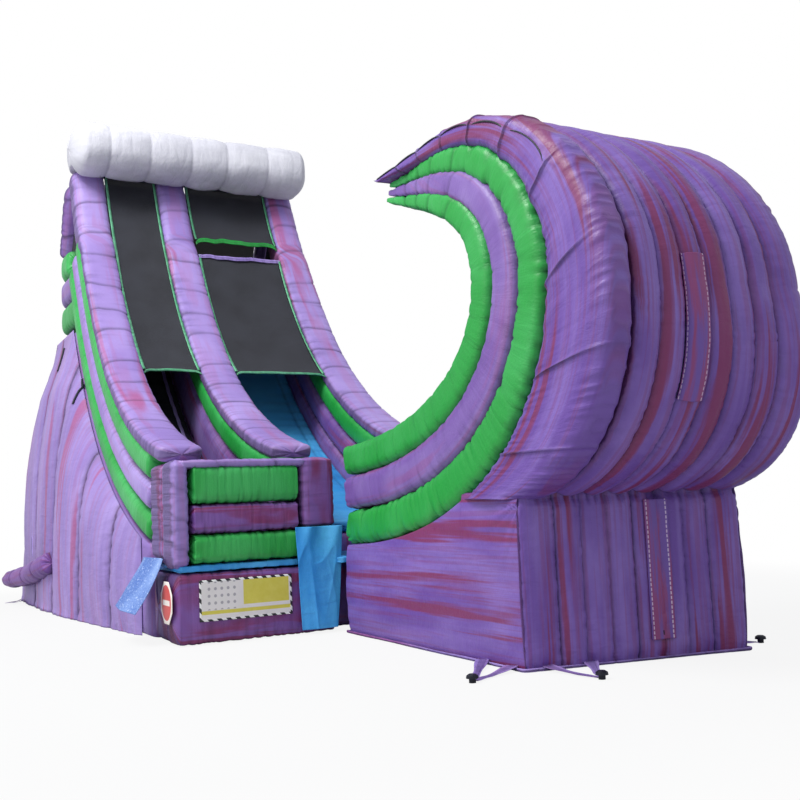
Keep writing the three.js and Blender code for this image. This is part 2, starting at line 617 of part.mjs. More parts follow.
// Barrel outline between two heights, with its outward normals.
function barrelStretch(from, to, steps) {
  const fine = traceEdge(barrelCurves, 200, LEFT_OF_TRAVEL);
  const first = fine.findIndex((p) => p.place.y > from);
  const last = fine.findIndex((p) => p.place.y > to);
  return Array.from({ length: steps + 1 }, (_, i) => fine[Math.round(first + ((last - first) * i) / steps)]);
}

function makeBarrelZip() {
  const { x, from, to } = BARREL_FLAP;
  const stretch = barrelStretch(from, to, 10);
  const lift = 6;                 // the flap spans the facets of the barrel
  const buried = -20;
  const roof = FLAP_ROOM + lift;
  const skin = sidePrism(bandOutline(stretch, roof, roof + FLAP_SKIN), x, x + FLAP_WIDTH);
  const hem = (start) => sidePrism(bandOutline(stretch, buried, roof + 1), start, start + FLAP_HEM);
  add('barrel_zip_flap', clearOfBarrel(join(skin, hem(x), hem(x + FLAP_WIDTH - FLAP_HEM))), LILAC);
  const [across, along, out] = SLIDER;
  const seat = -22.5;
  const sweep = THREE.MathUtils.radToDeg(along / TAPE_ARC.r);
  const slider = arcStrip(x + FLAP_WIDTH / 2, across, [seat, seat + sweep], [SEAM, SEAM + out], 2);
  add('barrel_zip_slider', slider, STEEL);
}

// Skews a piece with the barrel, then cuts away whatever reaches into it.
function clearOfBarrel(geometry) {
  const inner = [WAVE_X + WAVE_WALL, WAVE_END_X - WAVE_WALL];
  const outer = barrelEdge.map((p) => p.place.clone().addScaledVector(p.normal, 2 * SEAM)).reverse();
  const heart = [at(ridgeY, WAVE_BASE_Z + SEAM), ...deepAbove];
  const grown = [...heart, ...outer];
  return cut(skewed(geometry), skewed(sidePrism(grown, ...inner, 4)));
}

// ---------------------------------------------------------------- inflation sleeve and anchors
// Soft filling tube that lies along the left side, from its root in the side chamber to its mouth.
function makeSleeve() {
  const radius = 165;
  const root = new THREE.Vector3(-SIDE_FLARE + 130, 4500, 720);
  const mouth = new THREE.Vector3(-SIDE_FLARE - radius - 20, 6950, 400);
  const way = mouth.clone().sub(root);
  const tube = new THREE.CylinderGeometry(radius, radius, way.length(), 16);
  tube.applyQuaternion(new THREE.Quaternion().setFromUnitVectors(new THREE.Vector3(0, 1, 0), way.clone().normalize()));
  tube.translate((root.x + mouth.x) / 2, (root.y + mouth.y) / 2, (root.z + mouth.z) / 2);
  add('inflation_sleeve', cut(tube, sideChamber(-1).translate(-SEAM, 0, 0)), PURPLE);
}

// Webbing triangle on the ground, from two points on the hem to the stake, with an open middle.
function anchorStrap(name, footA, footB, stake, eye) {
  const towards = new THREE.Vector2().subVectors(stake, footA.clone().add(footB).multiplyScalar(0.5)).normalize();
  const side = new THREE.Vector2(-towards.y, towards.x);
  const apex = stake.clone().addScaledVector(towards, -STAKE_NECK * STAKE_RADIUS - SEAM);
  const half = 24;
  const [left, right] = side.dot(footA) > side.dot(footB) ? [footA, footB] : [footB, footA];
  const shape = new THREE.Shape([
    right.clone(), apex.clone().addScaledVector(side, -half), apex.clone().addScaledVector(side, half), left.clone(),
  ]);
  if (eye) {
    const centre = left.clone().add(right).add(apex).multiplyScalar(1 / 3);
    const shrink = (p) => centre.clone().lerp(p, 0.42);
    shape.holes.push(new THREE.Path([shrink(left), shrink(apex), shrink(right)]));
  }
  add(name, planPrism(shape, 1, 1 + STRAP_THICKNESS), LILAC);
}

function anchorStake(name, place) {
  const outline = [
    [0, 0], [STAKE_NECK, 0], [STAKE_NECK, 0.45], [1, 0.5], [0.92, 0.8], [0.55, 0.97], [0, 1],
  ].map(([r, z]) => at(r * STAKE_RADIUS, z * STAKE_HEIGHT));
  const head = new THREE.LatheGeometry(outline, 14).rotateX(Math.PI / 2);
  add(name, head.translate(place.x, place.y, 0), STEEL);
}

function makeAnchors() {
  const onFront = (x) => at(WAVE_X + x, WAVE_FRONT_Y - WAVE_SKEW * x - SEAM);
  const side = WAVE_X - SEAM;
  const rightSide = WAVE_END_X + SEAM;
  const stakes = [at(side - 480, -3260), at(side + 260, -3740), at(rightSide + 330, -3350)];
  anchorStrap('anchor_strap_front_left', at(side, -2650), at(side, -3050), stakes[0], true);
  anchorStrap('anchor_strap_front', onFront(180), onFront(520), stakes[1], true);
  anchorStrap('anchor_strap_right', at(rightSide, -3100), at(rightSide, -3320), stakes[2], false);
  const names = ['anchor_stake_front_left', 'anchor_stake_front', 'anchor_stake_right'];
  stakes.forEach((place, i) => anchorStake(names[i], place));
  const back = -SIDE_FLARE - 2 * SEAM;
  anchorStrap('anchor_strap_back_left', at(back, 6500), at(back, 6700), at(back - 250, 6700), true);
}

// ---------------------------------------------------------------- assembly
makeBase();
makeWalls();
makeBeds();
makeDeck();
makeRoof();
makeNets();
makeCornice();
makeFront();
makeFrontTrim();
makeWave();
makeBaseZip();
makeBarrelZip();
makeSleeve();
makeAnchors();

const bounds = new THREE.Box3().setFromObject(site);
const centre = bounds.getCenter(new THREE.Vector3());
site.position.set(-centre.x, -centre.y, -bounds.min.z);

const waveSlide = new THREE.Group();
waveSlide.add(site);
export default waveSlide;
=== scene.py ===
"""Looks of the inflatable wave slide, shaped round its solid parts.

Lengths are metres.  Shapes are worked out in a site frame (X across from the outside of the left wall,
Y back from the face of the front wall, Z up from the ground) and shifted into the row frame at the end.
"""
import math

import bpy
import numpy as np
from mathutils import Matrix, Vector


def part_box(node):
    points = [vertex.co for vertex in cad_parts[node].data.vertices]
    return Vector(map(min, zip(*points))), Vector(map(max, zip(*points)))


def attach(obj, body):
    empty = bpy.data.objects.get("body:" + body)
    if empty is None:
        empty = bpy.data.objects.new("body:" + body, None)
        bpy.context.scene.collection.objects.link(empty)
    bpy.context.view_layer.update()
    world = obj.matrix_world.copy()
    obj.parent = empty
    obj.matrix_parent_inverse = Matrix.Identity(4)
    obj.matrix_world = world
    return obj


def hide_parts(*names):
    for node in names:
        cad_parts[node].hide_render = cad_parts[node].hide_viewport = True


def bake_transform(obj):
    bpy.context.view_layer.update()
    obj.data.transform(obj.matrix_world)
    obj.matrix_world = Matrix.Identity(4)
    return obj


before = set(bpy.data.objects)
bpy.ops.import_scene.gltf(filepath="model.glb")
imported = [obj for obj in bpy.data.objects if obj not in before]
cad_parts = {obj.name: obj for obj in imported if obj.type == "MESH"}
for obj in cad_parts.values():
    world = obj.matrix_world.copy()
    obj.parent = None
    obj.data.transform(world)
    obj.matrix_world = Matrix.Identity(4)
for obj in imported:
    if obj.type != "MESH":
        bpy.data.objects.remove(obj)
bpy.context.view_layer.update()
PI = math.pi

# ------------------------------------------------------------------ the part's own sizes
WALL, CLIMB, SLIDE = 0.47, 0.72, 1.25
CENTRE_X = WALL + CLIMB
SLIDE_X = CENTRE_X + WALL
RIGHT_X = SLIDE_X + SLIDE
TOWER_X = RIGHT_X + WALL
WAVE_X, WAVE_WIDTH, WAVE_WALL, SKEW = 1.66, 1.90, 0.31, 0.195
RIB = 1.28 / 6
DECK_Z, BAND_Z, BACK_Y = 3.95, 0.40, 6.30
FRONT_Y = 0.45
BASE_BACK_Y = 7.0
TOWER_LOW, TOWER_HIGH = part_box("tower_base")
SITE = np.array([TOWER_LOW.x, TOWER_HIGH.y - BASE_BACK_Y, 0.0])


# ------------------------------------------------------------------ noise
def lattice(n, seed):
    """A random number from 0 to 1 for each whole-number lattice point, the same on every run."""
    k = n[..., 0] * 374761393 + n[..., 1] * 668265263 + n[..., 2] * 2147483647 + seed * 974634777
    k = (k ^ (k >> 13)) * 1274126177
    return ((k ^ (k >> 16)) & 0xFFFF) / 65535.0


def noise(x, y=0.0, z=0.0, seed=0):
    """Smooth value noise from 0 to 1 at each point, blended between lattice points by 3t^2 - 2t^3."""
    x, y, z = np.broadcast_arrays(x, y, z)
    p = np.stack([x, y, z], -1).astype(float)
    i = np.floor(p).astype(np.int64)
    t = p - i
    t = t * t * (3 - 2 * t)
    total = 0.0
    for a in (0, 1):
        for b in (0, 1):
            for c in (0, 1):
                corner = np.array([a, b, c])
                weight = np.prod(np.where(corner == 1, t, 1 - t), -1)
                total = total + weight * lattice(i + corner, seed)
    return total


def ridges(x, y=0.0, z=0.0, seed=0, sharp=3.0):
    """Narrow creases, 1 on the line and 0 away from it: (1 - |2 noise - 1|) ^ sharp."""
    return (1 - np.abs(2 * noise(x, y, z, seed) - 1)) ** sharp


def near_seam(xi, reach):
    """1 at either edge of a panel and less inside it; xi runs from -1 to 1 across the panel."""
    return np.exp(-(1 - np.abs(xi)) / reach)


def dome(xi):
    """Half ellipse over a panel, 1 in its middle and 0 at both edges."""
    return np.sqrt(np.clip(1 - xi ** 2, 0, 1))


def place_in(knots, x, last):
    """Which cell between the knots each x is in, up to the last cell, and where in it, from -1 to 1."""
    k = np.clip(np.searchsorted(knots, x) - 1, 0, last)
    return k, (x - knots[k]) / (knots[k + 1] - knots[k]) * 2 - 1


def smooth(low, high, x):
    """0 up to low and 1 from high, by 3t^2 - 2t^3 between; low may be the greater of the two."""
    t = np.clip((x - low) / (high - low), 0, 1)
    return t * t * (3 - 2 * t)


# ------------------------------------------------------------------ curves in the (Y, Z) plane
def bezier(p, t):
    """Cubic Bezier curve through the control points p at each t."""
    p, t = np.array(p, float), np.asarray(t)[:, None]
    return (1 - t) ** 3 * p[0] + 3 * (1 - t) ** 2 * t * p[1] + 3 * (1 - t) * t * t * p[2] + t ** 3 * p[3]


def even(points, n):
    """n points spaced evenly along a polyline."""
    s = lengths(points)
    u = np.linspace(0, s[-1], n)
    return np.stack([np.interp(u, s, points[:, k]) for k in range(points.shape[1])], -1)


def tangents(points):
    """Unit directions along a line, from central differences."""
    d = np.gradient(points, axis=0)
    return d / np.linalg.norm(d, axis=1)[:, None]


def clockwise(t):
    """Directions in the (Y, Z) plane turned a quarter turn clockwise."""
    return np.stack([t[:, 1], -t[:, 0]], -1)


def lengths(points):
    """Distance of each point along the line from its start."""
    return np.r_[0, np.cumsum(np.linalg.norm(np.diff(points, axis=0), axis=1))]


FINE = np.linspace(0, 1, 400)
RAIL = bezier([(-0.4, 1.776), (2.6, 2.056), (3.83, 3.6), (5.06, 6.25)], FINE)


def rail(depth, low=-0.2, top=6.25, n=300):
    """The rail crown moved inwards by a depth, from Y = low to where the crown itself is at Z = top."""
    t = tangents(RAIL)
    line = RAIL + depth * clockwise(t)
    return even(line[(line[:, 0] >= low) & (RAIL[:, 1] <= top)], n)


LIP = np.vstack([
    bezier([(-0.2, 1.84), (-1.9, 1.88), (-2.68, 2.35), (-2.68, 3.0)], FINE),
    bezier([(-2.68, 3.0), (-2.68, 3.56), (-2.2, 3.7), (-1.2, 4.06)], FINE)[1:],
])
LIP_SHARE = np.r_[np.zeros(400), FINE[1:]]
BARREL = np.vstack([
    bezier([(-3.2, 1.25), (-3.9, 1.4), (-4.31, 2.0), (-4.31, 2.7)], FINE),
    bezier([(-4.31, 2.7), (-4.31, 3.5), (-3.5, 4.34), (-2.3, 4.34)], FINE)[1:],
    np.linspace((-2.28, 4.34), (-1.13, 4.28), 60),
])


def lip(depth):
    """The lip of the wave moved outwards by depth, less and less towards the tip."""
    t = tangents(LIP)
    d = depth * (1 - 0.8 * LIP_SHARE)
    return LIP + d[:, None] * -clockwise(t)


# ------------------------------------------------------------------ meshes
class Patch:
    """A closed tube of points, m stations along by n round, with how far each is along and across."""

    def __init__(self, points, along=None, across=None, crease=None, slot=0, close="fan"):
        self.p = np.asarray(points, float)
        m, n = self.p.shape[:2]
        self.along = np.broadcast_to(np.arange(m)[:, None] if along is None else along, (m, n)).astype(float)
        self.across = np.broadcast_to(np.arange(n)[None] if across is None else across, (m, n)).astype(float)
        self.crease = np.broadcast_to(np.zeros((1, 1)) if crease is None else crease, (m, n)).astype(float)
        self.slot = slot
        self.close = close

    def normals(self):
        """Outward unit normals of the grid, from its two central differences."""
        du = np.gradient(self.p, axis=0)
        dv = np.roll(self.p, -1, 1) - np.roll(self.p, 1, 1)
        n = np.cross(dv, du)
        return n / np.maximum(np.linalg.norm(n, axis=2), 1e-9)[..., None]

    def swell(self, height):
        """Moves each point outwards by a height."""
        self.p = self.p + np.asarray(height)[..., None] * self.normals()
        return self


def volume(points, quads):
    """Signed volume inside the quads, which tells whether they face outwards."""
    a, b, c, d = (points[quads[:, k]] for k in range(4))
    six = np.einsum("ij,ij->i", a, np.cross(b, c)) + np.einsum("ij,ij->i", a, np.cross(c, d))
    return six.sum() / 6


def pair_up(ring):
    """Faces that close the end of a flat strip, each point of one face joined to the point behind it."""
    half = len(ring) // 2
    front, back = ring[:half], ring[::-1][:half]
    return np.stack([front[:-1], front[1:], back[1:], back[:-1]], -1)


def build(name, patches, materials, body="slide", seed=0, extra=False):
    """One mesh from closed grids: quads along the grid, and a fan of triangles to close each end.
    It takes the place of the node it is named for, unless it is an extra piece."""
    verts, faces, flow, crease, slots = [], [], [], [], []
    start = 0
    for k, patch in enumerate(patches):
        m, n = patch.p.shape[:2]
        grid = start + np.arange(m * n).reshape(m, n)
        right = np.roll(grid, -1, 1)
        quads = np.stack([grid[:-1], grid[1:], right[1:], right[:-1]], -1).reshape(-1, 4)
        points = np.vstack([patch.p.reshape(-1, 3), patch.p[0].mean(0), patch.p[-1].mean(0)])
        if patch.close == "flat":
            tri = [pair_up(grid[0]), pair_up(grid[-1])[:, ::-1]]
            points = points[:-2]
        else:
            ends = [np.full(n, start + m * n), np.full(n, start + m * n + 1)]
            tri = [np.stack([grid[0], right[0], ends[0]], -1), np.stack([right[-1], grid[-1], ends[1]], -1)]
        if volume(points, quads - start) < 0:
            quads, tri = quads[:, ::-1], [t[:, ::-1] for t in tri]
        verts.append(points)
        lists = quads.tolist() + tri[0].tolist() + tri[1].tolist()
        faces += lists
        slots += [patch.slot] * len(lists)
        f = np.stack([patch.along, patch.across, np.full((m, n), 7.3 * (k + seed))], -1).reshape(-1, 3)
        c = patch.crease.reshape(-1)
        flow.append(f)
        crease.append(c)
        if patch.close != "flat":
            flow += [f[:n].mean(0, keepdims=True), f[-n:].mean(0, keepdims=True)]
            crease += [[c[:n].mean()], [c[-n:].mean()]]
        start += len(points)
    mesh = bpy.data.meshes.new(name)
    mesh.from_pydata((np.vstack(verts) + SITE).tolist(), [], faces)
    mesh.attributes.new("flow", "FLOAT_VECTOR", "POINT").data.foreach_set("vector", np.vstack(flow).ravel())
    mesh.attributes.new("crease", "FLOAT", "POINT").data.foreach_set("value", np.concatenate(crease).ravel())
    mesh.polygons.foreach_set("material_index", np.array(slots, np.int32))
    mesh.polygons.foreach_set("use_smooth", np.ones(len(faces), bool))
    for material in materials:
        mesh.materials.append(material)
    mesh.update()
    piece = bpy.data.objects.new(name if extra else name + "_skin", mesh)
    bpy.context.scene.collection.objects.link(piece)
    if not extra:
        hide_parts(name)
    if body:
        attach(piece, body)
    return piece


def ring_angles(n):
    """n even angles round a closed section."""
    return np.linspace(0, 2 * PI, n, endpoint=False)


def power(v, e):
    """v to the power e, keeping v's sign: below 1 it squares off a circle's cosine or sine."""
    return np.sign(v) * np.abs(v) ** e


def taper_ends(s, total, reach, least=0.03):
    """Scale of a chamber's section near its two ends: a quarter ellipse over the stated reach."""
    a = np.clip(np.minimum(s, total - s) / reach, 0, 1)
    return np.maximum(np.sqrt(1 - (1 - a) ** 2), least)


def chamber(line, wide, deep, across=(1.0, 0.0, 0.0), n=72, square=0.62, ends=0.09, pucker=0.008,
            pitch=0.07, seed=1, slot=0, dips=(), dip=0.0, seam="deep", shaded=0.6):
    """An inflated tube along a 3-D line.  Its section is a superellipse, half width a and half depth b:
    (a cos^e, b sin^e) with exponent e = square.  Each end rounds in.  Puckers run away from the seams, which
    lie on the deep or the wide sides, and a dip is a cross crease at a stated distance along."""
    line = np.asarray(line, float)
    s = lengths(line)
    t = tangents(line)
    a = np.broadcast_to(np.array(across, float), line.shape)
    d = np.cross(t, a)
    d /= np.linalg.norm(d, axis=1)[:, None]
    th = ring_angles(n)[None]
    grow = taper_ends(s, s[-1], ends)[:, None] if ends else 1.0
    w = (np.asarray(wide, float) * np.ones(len(s)))[:, None]
    h = (np.asarray(deep, float) * np.ones(len(s)))[:, None]
    round_in = 1 - (1 - grow) * 0.9
    u = w * round_in * power(np.cos(th), square)
    v = h * round_in * power(np.sin(th), square)
    p = line[:, None] + u[..., None] * a[:, None] + v[..., None] * d[:, None]
    around = th * 2 * (w + h) / (2 * PI)
    towards, off = (np.sin(th), np.cos(th)) if seam == "deep" else (np.cos(th), np.sin(th))
    gap = 1 - np.abs(towards) ** square
    # Painted shade along the seam lines; with the puckers and dips it makes the crease value that darkens the
    # vinyl.
    seam_shade = np.exp(-(gap / 0.05) ** 2) * np.ones_like(u)
    near_end = np.exp(-np.minimum(s, s[-1] - s) / 0.11)[:, None]
    reach = 0.12 + 0.75 * noise(s[:, None] / pitch * 1.7, np.sign(towards) * 2 + 5, 0, seed + 3) ** 1.6
    wave = ridges(s[:, None] / pitch, 0.25 * np.abs(off) + np.sign(towards) * 3, seed, seed, 2.2)
    fold = pucker * wave * np.exp(-(gap / reach) ** 1.5)
    end_fold = 1.5 * pucker * near_end * ridges(around / 0.05 + 3, s[:, None] / 0.3, 1, seed + 9, 2)
    slow = 0.006 * (noise(s[:, None] / 0.45, np.cos(th), np.sin(th), seed + 21) - 0.5)
    sag = np.zeros_like(u)
    for k, place in enumerate(dips):
        lean = 0.05 * (np.sin(th + k) + 0.6 * (noise(np.cos(th) * 1.5, k, np.sin(th) * 1.5, seed) - 0.5))
        strength = 0.55 + 0.45 * noise(np.cos(th), k * 1.7, np.sin(th), seed + 5)
        sag += strength * np.exp(-((s[:, None] - place + lean) / 0.022) ** 2)
    crease = np.clip(shaded * seam_shade + 0.5 * fold / max(pucker, 1e-4) + 55 * dip * sag, 0, 0.8)
    return Patch(p, s[:, None], around, crease, slot).swell(slow - fold - end_fold - dip * sag)


def yz(line, x):
    """A (Y, Z) line set at one X."""
    line = np.asarray(line)
    return np.stack([np.full(len(line), float(x)), line[:, 0], line[:, 1]], -1)


def run_x(x0, x1, y, z, n=140):
    """n points along X."""
    return np.stack([np.linspace(x0, x1, n), np.full(n, float(y)), np.full(n, float(z))], -1)


def run_z(x, y, z0, z1, n=110):
    """n points upwards."""
    return np.stack([np.full(n, float(x)), np.full(n, float(y)), np.linspace(z0, z1, n)], -1)


def between(a, b):
    """The middle line of two lines with the same count, and half the distance between them."""
    return (a + b) / 2, np.linalg.norm(a - b, axis=1) / 2


# ------------------------------------------------------------------ materials
def operator(operation, flip=False):
    """A Python operator that adds one math node; flip puts the other value first."""
    return lambda self, other: self.maths(operation, other, flip)


class Sock:
    """A node output that can be added, scaled and compared with Python operators."""

    def __init__(self, tree, socket):
        self.tree, self.socket = tree, socket

    def maths(self, operation, other, flip=False):
        """One math node, of this output and another value."""
        node = self.tree.nodes.new("ShaderNodeMath")
        node.operation = operation
        for k, value in enumerate((other, self) if flip else (self, other)):
            put(self.tree, node.inputs[k], value)
        return Sock(self.tree, node.outputs[0])

    __add__, __radd__ = operator("ADD"), operator("ADD", True)
    __sub__, __rsub__ = operator("SUBTRACT"), operator("SUBTRACT", True)
    __mul__, __rmul__ = operator("MULTIPLY"), operator("MULTIPLY", True)
    __pow__, __gt__ = operator("POWER"), operator("GREATER_THAN")

    def fract(self):
        return self.maths("FRACT", 0.0)

    def clip(self, low, high):
        return self.maths("MAXIMUM", low).maths("MINIMUM", high)

    def step(self, low, high):
        """0 below low, 1 above high, smooth between."""
        return self.tree.make("ShaderNodeMapRange", 0, {"interpolation_type": "SMOOTHSTEP"},
                              {"Value": self, "From Min": low, "From Max": high})


def put(tree, socket, value):
    """Sets an input: links a node output to it, or stores a number, a vector or a #rrggbb colour."""
    if isinstance(value, str):
        value = linear(value)
    if isinstance(value, Sock):
        tree.links.new(value.socket, socket)
    elif hasattr(socket.default_value, "__len__") and len(socket.default_value) == 4 and len(value) == 3:
        socket.default_value = (*value, 1.0)
    else:
        socket.default_value = value


class Shade:
    """One procedural material: its node tree, with short ways to make nodes."""

    def __init__(self, name):
        self.material = bpy.data.materials.new(name)
        self.material.use_nodes = True
        self.tree = self.material.node_tree
        self.nodes, self.links = self.tree.nodes, self.tree.links
        self.nodes.clear()
        self.out = self.nodes.new("ShaderNodeOutputMaterial")
        self.shader = self.nodes.new("ShaderNodeBsdfPrincipled")
        self.links.new(self.shader.outputs[0], self.out.inputs[0])

    def make(self, kind, output, settings, inputs):
        """Any node: its settings first, then its inputs; returns one of its outputs."""
        node = self.nodes.new(kind)
        for key, value in settings.items():
            setattr(node, key, value)
        for key, value in inputs.items():
            put(self, node.inputs[key], value)
        return Sock(self, node.outputs[output])

    def attribute(self, name, output="Vector"):
        return self.make("ShaderNodeAttribute", output, {"attribute_name": name}, {})

    def place(self):
        return self.make("ShaderNodeTexCoord", "Object", {}, {})

    def parts(self, vector):
        node = self.nodes.new("ShaderNodeSeparateXYZ")
        put(self, node.inputs[0], vector)
        return [Sock(self, o) for o in node.outputs]

    def scale(self, vector, by):
        return self.make("ShaderNodeVectorMath", 0, {"operation": "MULTIPLY"}, {0: vector, 1: by})

    def noise(self, vector, scale, detail=3.0, rough=0.55, distortion=0.0):
        return self.make("ShaderNodeTexNoise", 0, {},
                         {"Vector": vector, "Scale": scale, "Detail": detail, "Roughness": rough,
                          "Distortion": distortion})

    def mix(self, factor, a, b):
        node = self.nodes.new("ShaderNodeMix")
        node.data_type = "RGBA"
        for key, value in ((0, factor), (6, a), (7, b)):
            put(self, node.inputs[key], value)
        return Sock(self, node.outputs[2])

    def bump(self, height, distance, strength=1.0, under=None):
        inputs = {"Height": height, "Distance": distance, "Strength": strength}
        if under is not None:
            inputs["Normal"] = under
        return self.make("ShaderNodeBump", 0, {}, inputs)

    def finish(self, **inputs):
        for key, value in inputs.items():
            put(self, self.shader.inputs[key.replace("_", " ")], value)
        return self.material


def linear(text):
    """A #rrggbb colour as linear light."""
    c = [int(text[k:k + 2], 16) / 255 for k in (1, 3, 5)]
    return tuple(v / 12.92 if v <= 0.04045 else ((v + 0.055) / 1.055) ** 2.4 for v in c)


def vinyl(name, base, light, dark, streak=None, amount=0.0, rough=0.42, lean=(0.22, 5.0)):
    """Coated vinyl cloth: soft blotches, streaks of a second colour drawn out along the piece, painted shade
    that darkens the seams and creases, and small wrinkles in the bump."""
    m = Shade(name)
    flow = m.attribute("flow")
    crease = m.attribute("crease", "Fac")
    place = m.place()
    long = m.scale(flow, (lean[0], lean[1], 1.0))
    blotch = m.noise(m.scale(flow, (0.6, 1.6, 1.0)), 1.4, 4.0, 0.6)
    colour = m.mix(blotch.step(0.35, 0.75), base, light)
    if streak:
        wander = m.noise(long, 1.0, 3.0, 0.55, 0.35)
        fine = m.noise(m.scale(flow, (lean[0] * 2.5, lean[1] * 4.0, 1.0)), 1.0, 3.0, 0.6, 0.2)
        edge = 0.66 - 0.16 * amount
        band = (wander + 0.22 * (fine - 0.5)).step(edge, edge + 0.1)
        pale = (1.0 - wander).step(0.5, 0.72) * 0.45
        colour = m.mix(pale, colour, light)
        faint = (fine + 0.3 * (blotch - 0.5)).step(0.47, 0.62) * (0.12 + 0.22 * amount)
        colour = m.mix(faint, colour, streak)
        colour = m.mix(band * 0.85, colour, streak)
    # Painted shade: the crease value darkens the colour towards the dark colour in seams, folds, dips and
    # grooves.
    shade = (crease * 0.75).clip(0.0, 0.9)
    colour = m.mix(shade, colour, dark)
    small = m.noise(place, 30.0, 5.0, 0.6, 0.8)
    folds = m.noise(m.scale(flow, (10.0, 3.5, 1.0)), 1.0, 4.0, 0.55, 0.5)
    first = m.bump(folds * (0.5 + crease), 0.03, 0.7)
    second = m.bump(small * (0.6 + 1.5 * crease), 0.008, 0.6, first)
    gloss = (rough + 0.16 * (small - 0.5) + 0.2 * crease).clip(0.15, 0.95)
    return m.finish(Base_Color=colour, Roughness=gloss, Normal=second, Specular_IOR_Level=0.4)


LILAC, PURPLE, PAINTED_SHADE_PURPLE = "#9A82C2", "#73539E", "#221732"
MAGENTA = "#93406F"
GREEN, GREEN_LIGHT, GREEN_DARK = "#219A3C", "#47B662", "#0C4A22"
BLUE, BLUE_LIGHT, BLUE_DARK = "#2E90D8", "#5CBEF4", "#124078"
BLACK, CHARCOAL = "#17181F", "#2C2E38"

MARBLE = vinyl("marble_vinyl", PURPLE, LILAC, PAINTED_SHADE_PURPLE, MAGENTA, 0.75, lean=(0.3, 6.0))
MARBLE_RICH = vinyl("marble_vinyl_rich", "#704A92", "#9068B0", PAINTED_SHADE_PURPLE, "#7E2E5A", 1.0, lean=(0.5, 7.0))
MARBLE_WAVE = vinyl("marble_vinyl_wave", "#69489C", "#886EBA", PAINTED_SHADE_PURPLE, "#7E2C54", 0.85, lean=(0.28, 7.5))
MARBLE_PALE = vinyl("marble_vinyl_pale", "#9078BC", "#A892D0", PAINTED_SHADE_PURPLE, "#A45A8C", 0.6, lean=(0.25, 5.0))
TUBE_GREEN = vinyl("green_vinyl", GREEN, GREEN_LIGHT, GREEN_DARK, rough=0.38)
LANE_BLUE = vinyl("blue_vinyl", BLUE, BLUE_LIGHT, BLUE_DARK, rough=0.35)
LANE_BLACK = vinyl("black_vinyl", BLACK, CHARCOAL, "#060608", rough=0.4)
FOAM = vinyl("foam_white_vinyl", "#C6C6CE", "#DDDDE3", "#80808C", rough=0.6)
HEM_GREEN = vinyl("hem_green", "#63B98A", "#86D2A8", "#245B3E", rough=0.7)
HEM_PALE = vinyl("hem_purple", "#9C86CC", "#BBA8E2", "#3A2C66", rough=0.7)
DENIM = vinyl("denim_mat", "#4A6CB0", "#86A4D8", "#22386A", "#B9CBEA", 0.5,
              rough=0.85, lean=(40.0, 40.0))
WEB = vinyl("webbing", "#8A73B8", "#A88FCF", "#3A2C66", "#8C4A86", 0.6, rough=0.8)


def metal(name, colour):
    """Dull metal, worn lighter and rougher in small patches."""
    m = Shade(name)
    wear = m.noise(m.place(), 60.0, 3.0)
    return m.finish(Base_Color=m.mix(wear, colour, CHARCOAL), Metallic=0.7, Roughness=(0.3 + 0.3 * wear),
                    Normal=m.bump(wear, 0.001, 0.4))


STEEL = metal("dark_steel", "#26262C")


def netting(name):
    """Fine mesh: a square grid of threads 9 mm apart, a little see-through between them."""
    m = Shade(name)
    x, y, _ = m.parts(m.scale(m.attribute("flow"), (110.0, 110.0, 1.0)))
    hole = ((x.fract() - 0.5) ** 2.0 + (y.fract() - 0.5) ** 2.0).step(0.02, 0.16)
    cloud = m.noise(m.attribute("flow"), 2.2, 3.0)
    return m.finish(Base_Color=m.mix(cloud, "#15161A", "#34363F"), Roughness=0.75,
                    Alpha=(0.72 + 0.24 * hole + 0.04 * cloud), Normal=m.bump(hole, 0.002, 0.3))


NET = netting("safety_net")


# ------------------------------------------------------------------ tower walls
TUBE_TOP = 5.2
TUBE_SEAMS = (0.12, 0.43, 0.735, 1.04)
LANE_FRONT_Y, RIGHT_FRONT_Y = 0.45, -0.2
CREASES = tuple(0.35 + 0.52 * k + 0.07 * math.sin(2.3 * k) for k in range(18))


def rail_cap(name, x0, low, seed):
    """The crowned rail: a fat tube that thickens into a post above the deck walls."""
    crown = even(RAIL[(RAIL[:, 0] >= low) & (RAIL[:, 1] <= 6.25)], 380)
    t = tangents(crown)
    half = 0.095 + 0.115 * smooth(4.9, 5.25, crown[:, 1])
    line = crown + (half - 0.012)[:, None] * clockwise(t)
    body = chamber(yz(line, x0 + WALL / 2), WALL / 2, half, n=66, square=0.6, ends=0.1, pucker=0.006,
                   seed=seed, dips=CREASES, dip=0.014, seam="wide")
    build(name, [body], [MARBLE_PALE], seed=seed)


def wall_tube(name, x0, d0, d1, low, material, seed, inner=None, pitch=0.06, pucker=0.009):
    """One side tube; with an inner colour it is two tubes side by side, one for each face of the wall."""
    line = rail((d0 + d1) / 2, low, TUBE_TOP)
    half = (d1 - d0) / 2 + 0.002
    look = dict(square=0.56, pucker=pucker, pitch=pitch, seed=seed, ends=0.07)
    if inner is None:
        parts = [chamber(yz(line, x0 + WALL / 2), WALL / 2, half, n=60, **look)]
        materials = [material]
    else:
        parts = [chamber(yz(line, x0 + WALL * k), WALL / 4, half, n=52, slot=i, **look)
                 for i, k in enumerate((0.75, 0.25))]
        materials = [material, inner]
    if d1 > 1.0 and low < 0.8:
        y0 = low + 0.02
        foot = np.stack([np.full(30, x0 + WALL / 2), np.linspace(y0, 0.9, 30), np.full(30, 0.88)], -1)
        parts.append(chamber(foot, WALL / 2 - 0.01, 0.13, n=48, square=0.4, seed=seed + 1))
    build(name, parts, materials, seed=seed)


